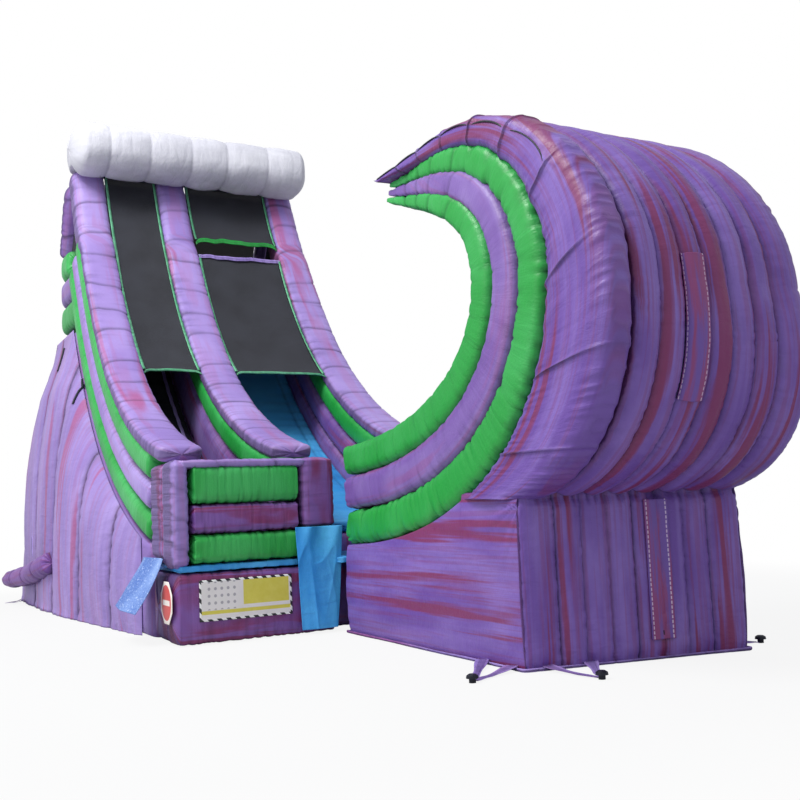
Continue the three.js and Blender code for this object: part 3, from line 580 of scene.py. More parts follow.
def make_walls():
    """Three walls, each a rail over tubes that share the depth below its crown between four seams."""
    rail_cap("left_rail", 0, LANE_FRONT_Y, 3)
    rail_cap("centre_rail", CENTRE_X, LANE_FRONT_Y, 17)
    rail_cap("right_rail", RIGHT_X, RIGHT_FRONT_Y, 31)
    a, b, c, d = TUBE_SEAMS
    for prefix, x0, low, vinyl_in, inner, seed in (("left", 0, 0.9, MARBLE_PALE, None, 5),
                                                   ("right", RIGHT_X, RIGHT_FRONT_Y, MARBLE, MARBLE, 41)):
        wall_tube(prefix + "_tube_green_upper", x0, a, b, low, TUBE_GREEN, seed)
        wall_tube(prefix + "_tube_purple", x0, b, c, low, vinyl_in, seed + 1)
        wall_tube(prefix + "_tube_green_lower", x0, c, d, low, TUBE_GREEN, seed + 2, inner)
    wall_tube("centre_tube_green", CENTRE_X, a, b, LANE_FRONT_Y, TUBE_GREEN, 23)
    wall_tube("centre_tube_purple", CENTRE_X, b, d, LANE_FRONT_Y, MARBLE, 25, pitch=0.09)


def grooves(x, pitch, narrow):
    """Bell-shaped lines along a bed, one in the middle of each pitch across it."""
    return np.exp(-((x / pitch % 1.0 - 0.5) / narrow) ** 2)


def make_beds():
    """Climbing bed with cross creases, sliding bed with four grooves along it, and the hand strap."""
    line = rail(0.97, 0.9, 5.2)
    line = line[line[:, 1] < DECK_Z - 0.02]
    steps = tuple(0.3 + 0.36 * k for k in range(14))
    bed = chamber(yz(line, WALL + CLIMB / 2), CLIMB / 2 - 0.005, 0.07, n=90, square=0.3, pucker=0.006,
                  pitch=0.11, seed=51, dips=steps, dip=0.014, seam="wide")
    build("climb_bed", [bed], [LANE_BLACK], seed=51)
    bed = chamber(yz(line, SLIDE_X + SLIDE / 2), SLIDE / 2 - 0.005, 0.07, n=140, square=0.22, pucker=0.004,
                  pitch=0.16, seed=53, seam="wide")
    x = bed.p[..., 0] - SLIDE_X
    groove = grooves(x, SLIDE / 4, 0.07)
    wander = ridges(x / 0.09, bed.along * 0.35, 0, 55, 3.0)
    # The grooves are darkened through the crease value: painted shade.
    bed.crease = np.clip(bed.crease + 0.4 * groove, 0, 1)
    bed.swell(-0.016 * groove - 0.006 * wander)
    build("slide_bed", [bed], [LANE_BLUE], seed=53)
    strap = rail(0.89, 0.93, 5.1)
    strap = strap[strap[:, 1] < DECK_Z - 0.05]
    wave = 0.012 * np.abs(np.sin(lengths(strap) / 0.24 * PI))
    t = tangents(strap)
    strap = strap - wave[:, None] * clockwise(t)
    grip = chamber(yz(strap, CENTRE_X - 0.1225), 0.0225, 0.004, n=16, square=0.4, ends=0, pucker=0.0, seed=57)
    build("climb_hand_strap", [grip], [HEM_PALE], seed=57)


# ------------------------------------------------------------------ tower base
def outline_patch(outline, x0, x1, columns, swell):
    """A closed outline in (Y, Z) carried across X; swell(x, y, z) pushes each point outwards."""
    outline = even(np.vstack([outline, outline[:1]]), 240)[:-1]
    x = np.linspace(x0, x1, columns)
    p = np.zeros((columns, len(outline), 3))
    p[..., 0] = x[:, None]
    p[..., 1:] = outline[None]
    round_in = 1 - 0.03 * (1 - taper_ends(x - x0, x1 - x0, 0.12, 0))[:, None, None]
    middle = p.mean(1, keepdims=True)
    p[..., 1:] = (middle + (p - middle) * round_in)[..., 1:]
    patch = Patch(p, p[..., 2], x[:, None])
    height, patch.crease = swell(p[..., 0], p[..., 1], p[..., 2])
    return patch.swell(height)


UNDER = rail(1.045, 0.9, 5.2)


def side_height(y):
    """Top of a side chamber: just under the rail's tubes, and level below the deck."""
    return np.minimum(np.interp(y, UNDER[:, 0], UNDER[:, 1]) - 0.005, 3.845)


def back_y(z):
    """The back of the base leans forward as it rises."""
    return np.interp(z, [0, 1.3, 2.6, 3.85], [7.0, 6.95, 6.75, 6.3])


PANELS = np.array([1.15, 2.15, 3.3, 4.55, 5.75, 7.0])


def side_chamber(name, sign, seed):
    """Flared side of the base: half width times a profile in Z times a growth in Y, in upright panels that
    each bulge by a half ellipse, drawn in by sagging folds."""
    y = np.linspace(1.2, 7.0, 260)[:, None]
    v = np.linspace(0, 1, 90)[None]
    top = side_height(y)
    z = v * top
    lean = (back_y(z) - 7.0) * smooth(5.6, 7.0, y)
    reach = np.interp(z, [0, 1.9, 3.0, 3.6, 4.2], [0.48, 0.41, 0.317, 0.144, 0.03])
    grow = 0.12 + 0.88 * np.sin(PI / 2 * np.minimum(1, 1.25 * (y - 1.2) / 5.8 * 0.97))
    k, xi = place_in(PANELS, y, 4)
    bulge = 0.075 * dome(xi) * np.sqrt(np.sin(PI * np.clip(v, 0.02, 0.98)))
    near = near_seam(xi, 0.16)
    folds = 0.028 * near * ridges(z / 0.16 + 0.9 * xi, xi * 0.8 + k, 0, seed, 2.0)
    sag = 0.018 * ridges(y / 0.55 + 0.25 * z, z / 1.6, k, seed + 2, 2.2)
    hem = 0.02 * smooth(0.12, 0.0, z) * ridges(y / 0.09, 0, 0, seed + 4, 1.5)
    out = reach * grow + bulge - folds - sag + hem - 0.05
    out = np.maximum(out, 0.012) * np.sqrt(np.clip((y - 1.19) / 0.12, 0.05, 1))
    out = np.maximum(out * (1 - v ** 5) ** 0.6, 0.006)
    outer = np.stack([-out, y + lean + 0 * z, z + 0 * y], -1)
    inner = outer[:, ::-1][:, ::9].copy()
    inner[..., 0] = -0.002
    p = np.concatenate([outer, inner], 1)
    if sign > 0:
        p[..., 0] = TOWER_X - p[..., 0]
    # The crease value darkens the panel seams, folds and sags: painted shade.
    crease = np.concatenate([np.clip(0.7 * near ** 3 + 14 * folds + 8 * sag, 0, 1), 0 * inner[..., 0]], 1)
    patch = Patch(p, p[..., 2], p[..., 1] + k * 3.1, crease)
    extra = []
    # Two black strips on the left side stand for the shaded gaps between its chambers: painted shade.
    if sign < 0:
        for ty, tz in ((5.5, 3.5), (4.3, 2.9)):
            high = np.linspace(tz + 0.17, tz - 0.17, 24)
            row = np.argmin(np.abs(y[:, 0] - ty))
            line = np.stack([-np.interp(high, z[row], out[row]) - 0.006, np.full(24, ty), high], -1)
            extra.append(chamber(line, 0.04, 0.012, across=(0, 1, 0), n=20, square=0.4, ends=0, pucker=0,
                                 slot=1))
    vinyls = [MARBLE_PALE if sign < 0 else MARBLE, LANE_BLACK]
    build(name, [patch] + extra, vinyls, seed=seed)


def make_base():
    """Core of the tower, its two flared sides, the roll under the landing and the landing floor."""
    def swell(x, y, z):
        """Upright panels on the back wall, a half ellipse across each, creased at their seams."""
        xi = ((x / (TOWER_X / 4)) % 1.0) * 2 - 1
        back = smooth(6.0, 6.25, y)
        near = near_seam(xi, 0.12) * back
        fold = 0.02 * near * ridges(z / 0.12, xi, 0, 71, 2)
        height = (0.06 * dome(xi) - 0.05) * back - fold
        # The second value darkens the seams and folds: painted shade.
        return height, np.clip(0.7 * near ** 2 + 20 * fold, 0, 1)

    low = UNDER[(UNDER[:, 1] < 3.845)]
    z = np.linspace(0, 3.845, 60)
    outline = np.vstack([[(0.9, 0.0)], np.stack([back_y(z), z], -1), low[::-1]])
    body = outline_patch(outline, 0.002, TOWER_X - 0.002, 160, swell)
    front = chamber(run_x(0, TOWER_X, 0.56, 0.335, 90), 0.335, 0.334, across=(0, 1, 0), n=80, square=0.22,
                    seed=73)
    build("tower_base", [body, front], [MARBLE], seed=71)
    side_chamber("side_chamber_left", -1, 81)
    side_chamber("side_chamber_right", 1, 83)
    floor = []
    for x0, x1, y0, y1 in ((0.05, 1.66, 0.03, 0.9), (1.62, TOWER_X, -0.17, 0.9)):
        line = run_x(x0, x1, (y0 + y1) / 2, 0.71, 60)
        floor.append(chamber(line, (y1 - y0) / 2, 0.036, across=(0, 1, 0), n=90, square=0.2, seed=75,
                             ends=0.03))
    build("landing_floor", floor, [LANE_BLUE], seed=75)


# ------------------------------------------------------------------ deck, roof, nets
ROOF_FOOT_Y, ROOF_FOOT_Z = 6.15, 5.15
NET_LOW, NET_TOP = 3.02, 6.19


def there_and_back(low, high, n):
    """n even steps from low to high and n back, for the two faces of a sheet."""
    return np.concatenate([np.linspace(low, high, n), np.linspace(high, low, n)])


def two_faces(n, half=0.002):
    """How far each column of a sheet stands off its middle: n on one face and n on the other."""
    return np.concatenate([np.full(n, half), np.full(n, -half)])


def round_path(corners, radius, n=8):
    """A polyline through the corners, each inner corner turned with a quadratic curve."""
    out = [np.array(corners[0], float)]
    for a, b, c in zip(corners[:-2], corners[1:-1], corners[2:]):
        a, b, c = (np.array(v, float) for v in (a, b, c))
        p = b + (a - b) / np.linalg.norm(a - b) * radius
        q = b + (c - b) / np.linalg.norm(c - b) * radius
        for t in np.linspace(0, 1, n):
            out.append((1 - t) ** 2 * p + 2 * t * (1 - t) * b + t * t * q)
    out.append(np.array(corners[-1], float))
    return np.array(out)


def make_deck():
    """Three tubes round the back of the deck, the deck itself and the leaning roof frame behind it."""
    half = 0.16
    left, right, back = half, TOWER_X - half, BACK_Y - half
    bands = (("green_lower", TUBE_GREEN, 4.95), ("purple", MARBLE, 5.2), ("green_upper", TUBE_GREEN, 5.48))
    for k, (name, material, start) in enumerate(bands):
        z = DECK_Z + (k + 0.5) * BAND_Z
        path = round_path([(left, start, z), (left, back, z), (right, back, z), (right, start, z)], 0.25)
        tube = chamber(even(path, 360), BAND_Z / 2, half, across=(0, 0, 1), n=64, square=0.6, seed=91 + k,
                       pitch=0.07, pucker=0.012, seam="wide")
        build("deck_wall_" + name, [tube], [material], seed=91 + k)
    deck = chamber(run_x(WALL, RIGHT_X, 5.46, DECK_Z - 0.05, 60), 0.53, 0.05, across=(0, 1, 0), n=80,
                   square=0.2, seed=95)
    build("deck_floor", [deck], [LANE_BLACK], seed=95)
    lean = np.array([0, -0.55, 1.1]) / math.hypot(0.55, 1.1)
    foot = np.array([0.15, ROOF_FOOT_Y, ROOF_FOOT_Z])
    up = foot + lean * 1.06
    span = np.array([TOWER_X - 0.3, 0, 0])
    path = round_path([foot, up, up + span, foot + span], 0.16)
    frame_tube = chamber(even(path, 380), 0.145, 0.145, across=(0, 1.1 / 1.23, 0.55 / 1.23), n=56,
                         square=0.85, seed=97, dips=tuple(0.4 + 0.5 * k for k in range(10)), dip=0.012)
    build("roof_frame", [frame_tube], [MARBLE], seed=97)


def along_rail(z0, z1, depth, n=160):
    """The stretch of the rail line between two heights."""
    line = rail(depth, 0.45, 6.25, 900)
    return even(line[(line[:, 1] >= z0) & (line[:, 1] <= z1)], n)


def lane_net(name, x0, x1, z0, z1, seed, low_hem, high_hem=None):
    """A net stretched between two rails, sagging by the power 0.6 of a half sine, with bindings down its
    edges and a wavy hem across.  A hem is given as its material slot and its half thickness."""
    line = along_rail(z0, z1, 0.036)
    t = tangents(line)
    s = lengths(line)
    sag = 0.035 * np.sin(PI * s / s[-1]) ** 0.6
    line = line + sag[:, None] * clockwise(t)
    half = (x1 - x0) / 2 + 0.012
    cols = there_and_back(-1, 1, 22)
    p = np.zeros((len(line), 44, 3))
    droop = 0.02 * (1 - cols ** 2) + 0.006 * noise(s[:, None] / 0.3, cols * 2, 0, seed)
    n = clockwise(t)
    p[..., 0] = (x0 + x1) / 2 + half * cols
    p[..., 1:] = line[:, None] + (droop + two_faces(22))[..., None] * n[:, None]
    net = Patch(p, s[:, None], half * cols[None], close="flat")
    sheet = build(name, [net], [NET], seed=seed)
    trims = []
    for x in (x0 + 0.012, x1 - 0.012):
        trims.append(chamber(yz(line - 0.008 * n, x), 0.016, 0.008, n=14, square=0.7, ends=0, pucker=0.002,
                             seed=seed))
    for end, hem in ((0, low_hem), (-1, high_hem)):
        if hem is None:
            continue
        slot, thick = hem
        x = np.linspace(x0, x1, 90)
        wave = thick * 0.9 * (noise(x / 0.13, seed, end, 7) - 0.5)
        gusset = 0.07 * np.exp(-np.minimum(x - x0, x1 - x) / 0.05) * (-1 if end == 0 else 0)
        point = line[end]
        way = t[end]
        hem_line = np.stack([x, point[0] + (wave + gusset) * way[0], point[1] + (wave + gusset) * way[1]], -1)
        trims.append(chamber(hem_line, thick, 0.012, across=(0, way[0], way[1]), n=20, square=0.75, ends=0,
                             pucker=0.006, pitch=0.03, seed=seed + 3, slot=slot))
    hems = build(name + "_binding", trims, [HEM_GREEN, HEM_PALE, TUBE_GREEN], seed=seed + 1,
                 extra=True)


def window_net(name, x, seed):
    """The side window: a flat net from the rail post to the leaning roof post, at each height."""
    height = 1.05
    z = np.linspace(ROOF_FOOT_Z, ROOF_FOOT_Z + height, 60)
    back = rail(0.42, 0.45, 6.25, 900)
    y0 = np.interp(z, back[:, 1], back[:, 0], right=back[-1, 0])
    y1 = 6.0 - 0.5 * (z - ROOF_FOOT_Z) - 0.02
    y1 = np.maximum(y1, y0 + 0.03)
    cols = there_and_back(0, 1, 20)
    p = np.zeros((60, 40, 3))
    p[..., 1] = y0[:, None] + (y1 - y0)[:, None] * cols
    p[..., 2] = z[:, None]
    p[..., 0] = x + two_faces(20) + 0.01 * noise(p[..., 1] * 4, p[..., 2] * 4)
    sheet = build(name, [Patch(p, p[..., 2], p[..., 1], close="flat")], [NET], seed=seed)


def make_nets():
    """The nets over both lanes, the two side windows and the window at the back."""
    lane_net("climb_net", WALL, CENTRE_X, NET_LOW, NET_TOP, 101, (0, 0.022))
    lane_net("slide_net_lower", SLIDE_X, RIGHT_X, NET_LOW, 4.93, 105, (0, 0.022), (1, 0.035))
    lane_net("slide_net_upper", SLIDE_X, RIGHT_X, 5.2, NET_TOP, 109, (2, 0.04))
    window_net("side_net_left", 0.156, 113)
    window_net("side_net_right", TOWER_X - 0.156, 115)
    s = np.linspace(0, 1, 40)
    line = np.stack([np.full(40, TOWER_X / 2), ROOF_FOOT_Y - 0.42 * s, ROOF_FOOT_Z + 0.84 * s], -1)
    cols = there_and_back(-1, 1, 30)
    p = line[:, None] + np.zeros((40, 60, 3))
    half_width, high = 1.38, 0.94
    p[..., 0] += half_width * cols
    p[..., 1] += two_faces(30)
    net = Patch(p, high * s[:, None], half_width * cols[None], close="flat")
    sheet = build("back_net", [net], [NET])


def make_cornice():
    """White roll along X: an ellipse section, scaled by rounded lobes of uneven width and broken by soft
    folds; its underside is level behind and droops unevenly in front."""
    left, right = -0.08, 3.46
    centre_y, centre_z, reach_y, reach_z = 4.84, 6.42, 0.55, 0.39
    x = np.linspace(left, right, 300)
    th = ring_angles(120)[None]
    u = (x - left) / (right - left)
    knots = np.array([0, 0.14, 0.3, 0.47, 0.62, 0.8, 1.0])
    _, xi = place_in(knots, u, 5)
    lobe = dome(xi)[:, None]
    cap = np.sqrt(np.clip(1 - np.clip(1 - np.minimum(u, 1 - u) / 0.055, 0, 1) ** 2, 0.002, 1))[:, None]
    low = 0.55 + 0.45 * np.clip(-np.sin(th), 0, 1)
    uneven = noise(x[:, None] / 0.3, np.cos(th), np.sin(th), 131) - 0.5
    size = cap * (0.93 + 0.1 * (lobe - 0.7) * low + 0.05 * uneven)
    fold = 0.007 * ridges(x[:, None] / 0.16, np.cos(th) * 1.4, np.sin(th) * 1.4, 133, 2.5)
    p = np.zeros((300, 120, 3))
    p[..., 0] = x[:, None]
    p[..., 1] = centre_y + reach_y * size * power(np.cos(th), 0.8)
    droop = 0.06 + 0.1 * noise(x[:, None] / 0.5, 0, 0, 135)
    floor = np.where(p[..., 1] < 4.85, 6.05 - droop * lobe, 6.2)
    p[..., 2] = np.maximum(centre_z + reach_z * size * power(np.sin(th), 0.8), floor)
    # The crease value darkens the folds and the dips between lobes, most on the underside: painted shade.
    patch = Patch(p, x[:, None], th * 0.5, np.clip((1 - lobe) ** 3 * 0.35 * low + fold * 9, 0, 1))
    build("foam_cornice", [patch.swell(-fold)], [FOAM], seed=131)


# ------------------------------------------------------------------ front wall
LEDGE_TOP, GREEN_TOP, PURPLE_TOP, FRONT_TOP, POST_TOP = 0.75, 1.03, 1.314, 1.69, 1.76
FRONT_LEFT, FRONT_RIGHT, POST_LEFT = 0.185, 1.685, 1.305


def block(line, wide, deep, seed, **more):
    """A squarer chamber of the front wall, half width wide in Y."""
    options = dict(across=(0, 1, 0), n=88, square=0.45, pucker=0.009, pitch=0.05, ends=0.06, seed=seed)
    options.update(more)
    return chamber(line, wide, deep, **options)


def make_front():
    """Front wall: base roll, three bumpers, cap roll, right post and the two-part pleated corner post."""
    half = FRONT_Y / 2
    build("front_base", [block(run_x(0, 1.69, half, 0.335), half, 0.334, 141, square=0.24, ends=0.07)],
          [MARBLE_RICH], seed=141)
    rows = (("front_tube_green_lower", FRONT_RIGHT, LEDGE_TOP, GREEN_TOP, TUBE_GREEN),
            ("front_tube_purple", POST_LEFT, GREEN_TOP, PURPLE_TOP, MARBLE_RICH),
            ("front_tube_green_upper", POST_LEFT, PURPLE_TOP, FRONT_TOP, TUBE_GREEN))
    for k, (name, x1, z0, z1, material) in enumerate(rows):
        tube = block(run_x(FRONT_LEFT, x1, half, (z0 + z1) / 2), half, (z1 - z0) / 2 + 0.002, 143 + k,
                     square=0.42, pucker=0.012, pitch=0.045, ends=0.035)
        build(name, [tube], [material], seed=143 + k)
    cap = block(run_x(0.06, 1.4, half, 1.70), half - 0.01, 0.05, 151, square=0.6, dips=(0.4, 0.95), dip=0.01)
    post = block(run_z(1.50, half, GREEN_TOP, POST_TOP), half, 0.19, 152, square=0.4, ends=0.05, slot=1)
    build("front_cap_and_post", [cap, post], [MARBLE_PALE, MARBLE_RICH], seed=151)
    pleats = tuple(0.05 + 0.045 * k + 0.012 * math.sin(3.1 * k) for k in range(22))
    front = block(run_z(0.09, half, 0.7, POST_TOP, 180), half - 0.005, 0.092, 155, square=0.5, dips=pleats,
                  dip=0.003, ends=0.09)
    rear = block(run_z(0.235, 0.675, 0.752, 1.752, 180), 0.225, 0.235, 156, square=0.4, dips=pleats,
                 dip=0.006, ends=0.09)
    build("front_corner_post", [front, rear], [MARBLE_PALE], seed=155)


def cloth(name, p, material, along, across, seed, thick=0.0025, body=None):
    """A sheet given as a grid of points: its two faces stand half a thickness off, joined round the edge."""
    du, dv = np.gradient(p, axis=0), np.gradient(p, axis=1)
    n = np.cross(du, dv)
    n /= np.linalg.norm(n, axis=2)[..., None]
    both = np.concatenate([p + n * thick / 2, (p - n * thick / 2)[:, ::-1]], 1)
    a = np.concatenate([along, along[:, ::-1]], 1)
    b = np.concatenate([across, across[:, ::-1]], 1)
    return build(name, [Patch(both, a, b, close="flat")], [material], body=body, seed=seed)


def make_apron():
    """Blue apron: hangs from the foot of the right post, gathered at the top into slanting folds."""
    s = np.linspace(0, 1, 120)[:, None]
    u = np.linspace(0, 1, 70)[None]
    z = 1.05 - 1.0 * s + 0 * u
    x = 1.215 + 0.03 * s + u * (0.50 - 0.07 * s - 0.05 * s ** 2)
    slant = ridges((u + 0.55 * s) * 3.2, s * 1.3, 0, 161, 2.0) * np.exp(-s / 0.28)
    loose = 0.5 * ridges((u - 0.2 * s) * 2.4, s * 1.1, 0, 163, 2.5) * smooth(0.15, 0.5, s)
    y = -0.035 - 0.05 * slant - 0.022 * loose - 0.05 * np.sin(PI * u) * s * (1 - 0.5 * s) - 0.03 * s
    p = np.stack([x + 0 * z, y + 0 * z, z], -1)
    apron = cloth("front_apron", p, LANE_BLUE, s + 0 * u, 0.45 * u + 0 * s, 161)
    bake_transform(apron)


def make_mat():
    """Denim mat: laid over the left corner and hanging outwards, with a little sideways wave and wrinkles."""
    s = np.linspace(0, 1, 90)[:, None]
    u = np.linspace(0, 1, 90)[None]
    x = -0.015 - 0.30 * s ** 1.1 + 0.02 * np.sin(5 * u + 2 * s)
    y = 0.29 + 0.68 * u + 0.12 * s * (u - 0.2)
    z = 0.81 - 0.5 * s ** 0.9 + 0.03 * u * s
    wrinkle = 0.012 * ridges(u * 3 + s, s * 2, 0, 171, 2)
    p = np.stack([x - wrinkle, y + 0 * s, z + 0 * u], -1)
    mat = cloth("side_mat", p, DENIM, 0.6 * s + 0 * u, 0.7 * u + 0 * s, 171, 0.006, "slide")


def sign_materials():
    """Octagon: a red field inside a pale rim with one plain pale bar.  Banner: a dotted pale field beside a
    plain yellow one, inside a dashed edge."""
    m = Shade("octagon_print")
    y, z, _ = m.parts(m.attribute("flow"))
    far = ((y * y + z * z) ** 0.5)
    rim = far.step(0.165, 0.17)
    bar = (0.025 - (z * z) ** 0.5).step(-0.004, 0.004) * (0.12 - (y * y) ** 0.5).step(-0.004, 0.004)
    dirt = m.noise(m.place(), 20.0)
    red = m.mix(dirt, "#C2403C", "#D9625A")
    octagon = m.finish(Base_Color=m.mix(rim + bar, red, "#EFE6DC"), Roughness=(0.4 + 0.2 * dirt),
                       Normal=m.bump(dirt, 0.002, 0.3))
    m = Shade("banner_print")
    x, z, _ = m.parts(m.attribute("flow"))
    dirt = m.noise(m.place(), 14.0, 4.0)
    dash = ((x + z) * 11.0).fract() > 0.5
    edge = 1.0 - (x.step(0.018, 0.022) * (0.93 - x).step(0.018, 0.022)
                  * z.step(0.018, 0.022) * (0.385 - z).step(0.018, 0.022))
    dots = (((x * 16.0).fract() - 0.5) ** 2.0 + ((z * 15.0).fract() - 0.5) ** 2.0).step(0.07, 0.03)
    field = x.step(0.05, 0.055) * (0.39 - x).step(0.0, 0.005) * z.step(0.1, 0.105)
    gold = x.step(0.43, 0.435) * (0.9 - x).step(0.0, 0.005) * z.step(0.13, 0.135)
    line = z.step(0.06, 0.065) * (0.1 - z).step(0.0, 0.005)
    yellow = m.mix(dirt, "#CFC23A", "#DDD466")
    colour = m.mix(dots * field * 0.6, "#E4E0DC", "#6A6A78")
    colour = m.mix((gold + line).clip(0.0, 1.0), colour, yellow)
    colour = m.mix(edge, colour, m.mix(dash, "#26262A", "#EEEEEA"))
    banner = m.finish(Base_Color=colour, Roughness=(0.35 + 0.2 * dirt), Normal=m.bump(dirt, 0.003, 0.4))
    return octagon, banner


def make_signs():
    """Octagon: eight-sided rings from its back to its face.  Banner: a sheet that ripples off the wall."""
    octagon, banner = sign_materials()
    th = (np.arange(8) + 0.5) * PI / 4
    y0, z0 = FRONT_Y / 2, 0.4
    rings = ((0.2, -0.007), (0.2145, -0.007), (0.2145, -0.010), (0.209, -0.012), (0.1, -0.012))
    p = np.array([np.stack([np.full(8, x), y0 + radius * np.cos(th), z0 + radius * np.sin(th)], -1)
                  for radius, x in rings])
    patch = Patch(p, p[..., 1] - y0, p[..., 2] - z0)
    build("sign_octagon", [patch], [octagon])
    u = np.linspace(0, 0.93, 90)[:, None]
    v = there_and_back(0, 0.385, 40)[None]
    wave = 0.004 * noise(u / 0.12, v / 0.12, 0, 175)
    y = -0.006 - wave - np.concatenate([np.full(40, 0.003), np.full(40, 0.0)])[None]
    p = np.stack([0.24 + u + 0 * v, y, 0.215 + v + 0 * u], -1)
    build("front_banner", [Patch(p, u, v, close="flat")], [banner])


# ------------------------------------------------------------------ wave
WAVE_FRONT_Y, WAVE_BASE_TOP = -3.2, 1.25
RIDGE = lip(0.981)
RING_IN = even(RIDGE[RIDGE[:, 1] > WAVE_BASE_TOP], 400)
RING_OUT = even(BARREL, 400)
RING_S = lengths(RING_OUT)


def skew(p):
    """Carries the foot of the barrel and the wall under it forward towards the far side."""
    share = np.clip((2.7 - p[..., 2]) / 1.45, 0, 1)
    weight = smooth(-2.9, -3.2, p[..., 1])
    p[..., 1] -= SKEW * (p[..., 0] - WAVE_X) * share * weight
    return p


def rib_height(xi):
    """How far a rib's crown stands below its highest line: a flattened half ellipse."""
    return 0.055 * (1 - np.sqrt(np.clip(1 - np.abs(xi) ** 2.2, 0, 1)))


def rib_share(x):
    """Place across the rib at x, from -1 to 1: a wide rib on each side and six narrow ones between."""
    low, high = WAVE_X + WAVE_WALL, WAVE_X + WAVE_WIDTH - WAVE_WALL
    middle = ((x - low) / RIB) % 1.0
    share = np.where(x < low, (x - WAVE_X) / WAVE_WALL, np.where(x > high, (x - high) / WAVE_WALL, middle))
    return share * 2 - 1


def rib(x0, x1, seed, slot=0):
    """One rib of the barrel: crown across X over straight sides, following the barrel's outline."""
    t = tangents(RING_OUT)
    out = -clockwise(t)
    xi = np.sin(np.linspace(-PI / 2, PI / 2, 32))
    s = RING_S[:, None]
    thick = np.minimum(np.linalg.norm(RING_OUT - RING_IN, axis=1), 0.45)[:, None]
    side = np.sign(xi)[None] * 2
    reach = 0.16 + 0.5 * noise(s / 0.22, side, seed, seed + 6) ** 1.5
    near = near_seam(xi[None], reach)
    crinkle = ridges(s / 0.05, side + 0.5 * np.abs(xi)[None], seed, seed, 1.6)
    fold = 0.022 * near * crinkle * (0.4 + 0.6 * noise(s / 0.3, side, 0, seed + 2))
    slow = 0.010 * (noise(s / 0.5, xi[None] * 1.5, 0, seed + 4) - 0.5)
    drop = rib_height(xi)[None] + fold - slow
    back = xi[::-1][::7]
    u = np.concatenate([xi, back])
    d = np.concatenate([drop, (thick * 0.9) * np.ones((1, len(back)))], 1)
    p = np.zeros((len(RING_OUT), len(u), 3))
    p[..., 0] = (x0 + x1) / 2 + (x1 - x0) / 2 * u
    p[..., 1:] = RING_OUT[:, None] - d[..., None] * out[:, None]
    # The seams and crinkles are darkened through the crease value: painted shade.
    line = near_seam(xi[None], 0.035) * np.ones_like(drop)
    crease = np.concatenate([np.clip(0.55 * line + 14 * fold, 0, 1), np.zeros((len(s), len(back)))], 1)
    return Patch(skew(p), s, p[..., 0], crease, slot)


RING_SEAMS = np.array([0.0, 0.62, 1.28, 1.95, 2.6, 3.15, 3.62, 4.02, 4.38, 4.72, 5.1])


def ring(x0, x1, seed):
    """The corner ring: a superellipse between the outer stripe and the barrel's outline, cut by radial seams.
    Near the tip the seams close up and each cell bulges between them."""
    middle, half = between(RING_IN, RING_OUT)
    out = (RING_OUT - RING_IN) / np.maximum(2 * half, 1e-6)[:, None]
    th = ring_angles(100)[None]
    u, v = power(np.cos(th), 0.62), power(np.sin(th), 0.62)
    s = RING_S[:, None]
    seams = RING_SEAMS * RING_S[-1] / RING_SEAMS[-1]
    k, xi = place_in(seams, s, len(seams) - 2)
    cell = dome(xi)
    gap = (1 - np.abs(xi)) * (seams[k + 1] - seams[k]) / 2
    tip = smooth(2.9, 4.0, s)
    short = np.exp(-((v + 0.1) / 0.75) ** 2)
    near = np.exp(-(gap / 0.012) ** 2) * (tip + (1 - tip) * short)
    fan = ridges(s / 0.07, v * 1.1, seed, seed, 2.0) * smooth(0.0, -1.0, v)
    edge = ridges(s / 0.07, u * 1.3, seed, seed + 3, 2.0) * smooth(0.3, 1.0, v)
    tuck = ridges(s / 0.25 + v, v * 1.2, seed, seed + 5, 3.0) * np.exp(-gap / 0.1)
    width = np.minimum((x1 - x0) / 2, 0.155) * np.ones_like(half)
    p = np.zeros((len(s), 100, 3))
    p[..., 0] = (x0 + x1) / 2 + width[:, None] * u
    p[..., 1:] = middle[:, None] + (half[:, None] * v)[..., None] * out[:, None]
    fold = 0.013 * fan + 0.010 * edge + 0.012 * tuck
    # The seams and folds are darkened through the crease value: painted shade.
    crease = np.clip(0.8 * near + 16 * fold, 0, 1)
    patch = Patch(skew(p), s, v * half[:, None] + 3 * (x0 > 2), crease)
    small = smooth(0.0, 0.25, half)[:, None]
    return patch.swell(small * (0.03 * (cell - 1) * tip - 0.022 * near - fold))


def piping():
    """Dark cord sewn round the scalloped outer edge of the cells near the tip."""
    total = RING_S[-1]
    seams = RING_SEAMS * total / RING_SEAMS[-1]
    s = np.linspace(3.1, total - 0.05, 260)
    _, xi = place_in(seams, s, len(seams) - 2)
    inner = np.stack([np.interp(s, RING_S, RING_IN[:, i]) for i in (0, 1)], -1)
    outer = np.stack([np.interp(s, RING_S, RING_OUT[:, i]) for i in (0, 1)], -1)
    share = 0.58 + 0.2 * dome(xi)
    line = inner + (outer - inner) * share[:, None]
    return chamber(yz(line, WAVE_X - 0.001), 0.007, 0.007, n=10, square=1.0, ends=0.02, pucker=0, shaded=0,
                   slot=1)


def stripes(x, seed, stations=400, n=60):
    """The three curved tubes on one end wall, thinner towards the tip."""
    out = []
    tubes = ((0, 0.3, 0, 0.012, 0.07), (0.3, 0.64, 1, 0.013, 0.075), (0.64, 0.98, 0, 0.026, 0.06))
    for k, (d0, d1, slot, pucker, pitch) in enumerate(tubes):
        line, half = between(even(lip(d0), stations), even(lip(d1), stations))
        wide = 0.155 * (0.45 + 0.55 * smooth(0.03, 0.12, half))
        s = lengths(line)
        seams = tuple(s[-1] - v for v in (0.42, 0.72, 0.98, 1.3))
        out.append(chamber(yz(line, x), wide, half + 0.003, n=n, square=0.55, pucker=pucker, pitch=pitch,
                           seed=seed + k, slot=slot, ends=0.04, dips=seams, dip=0.012))
    return out


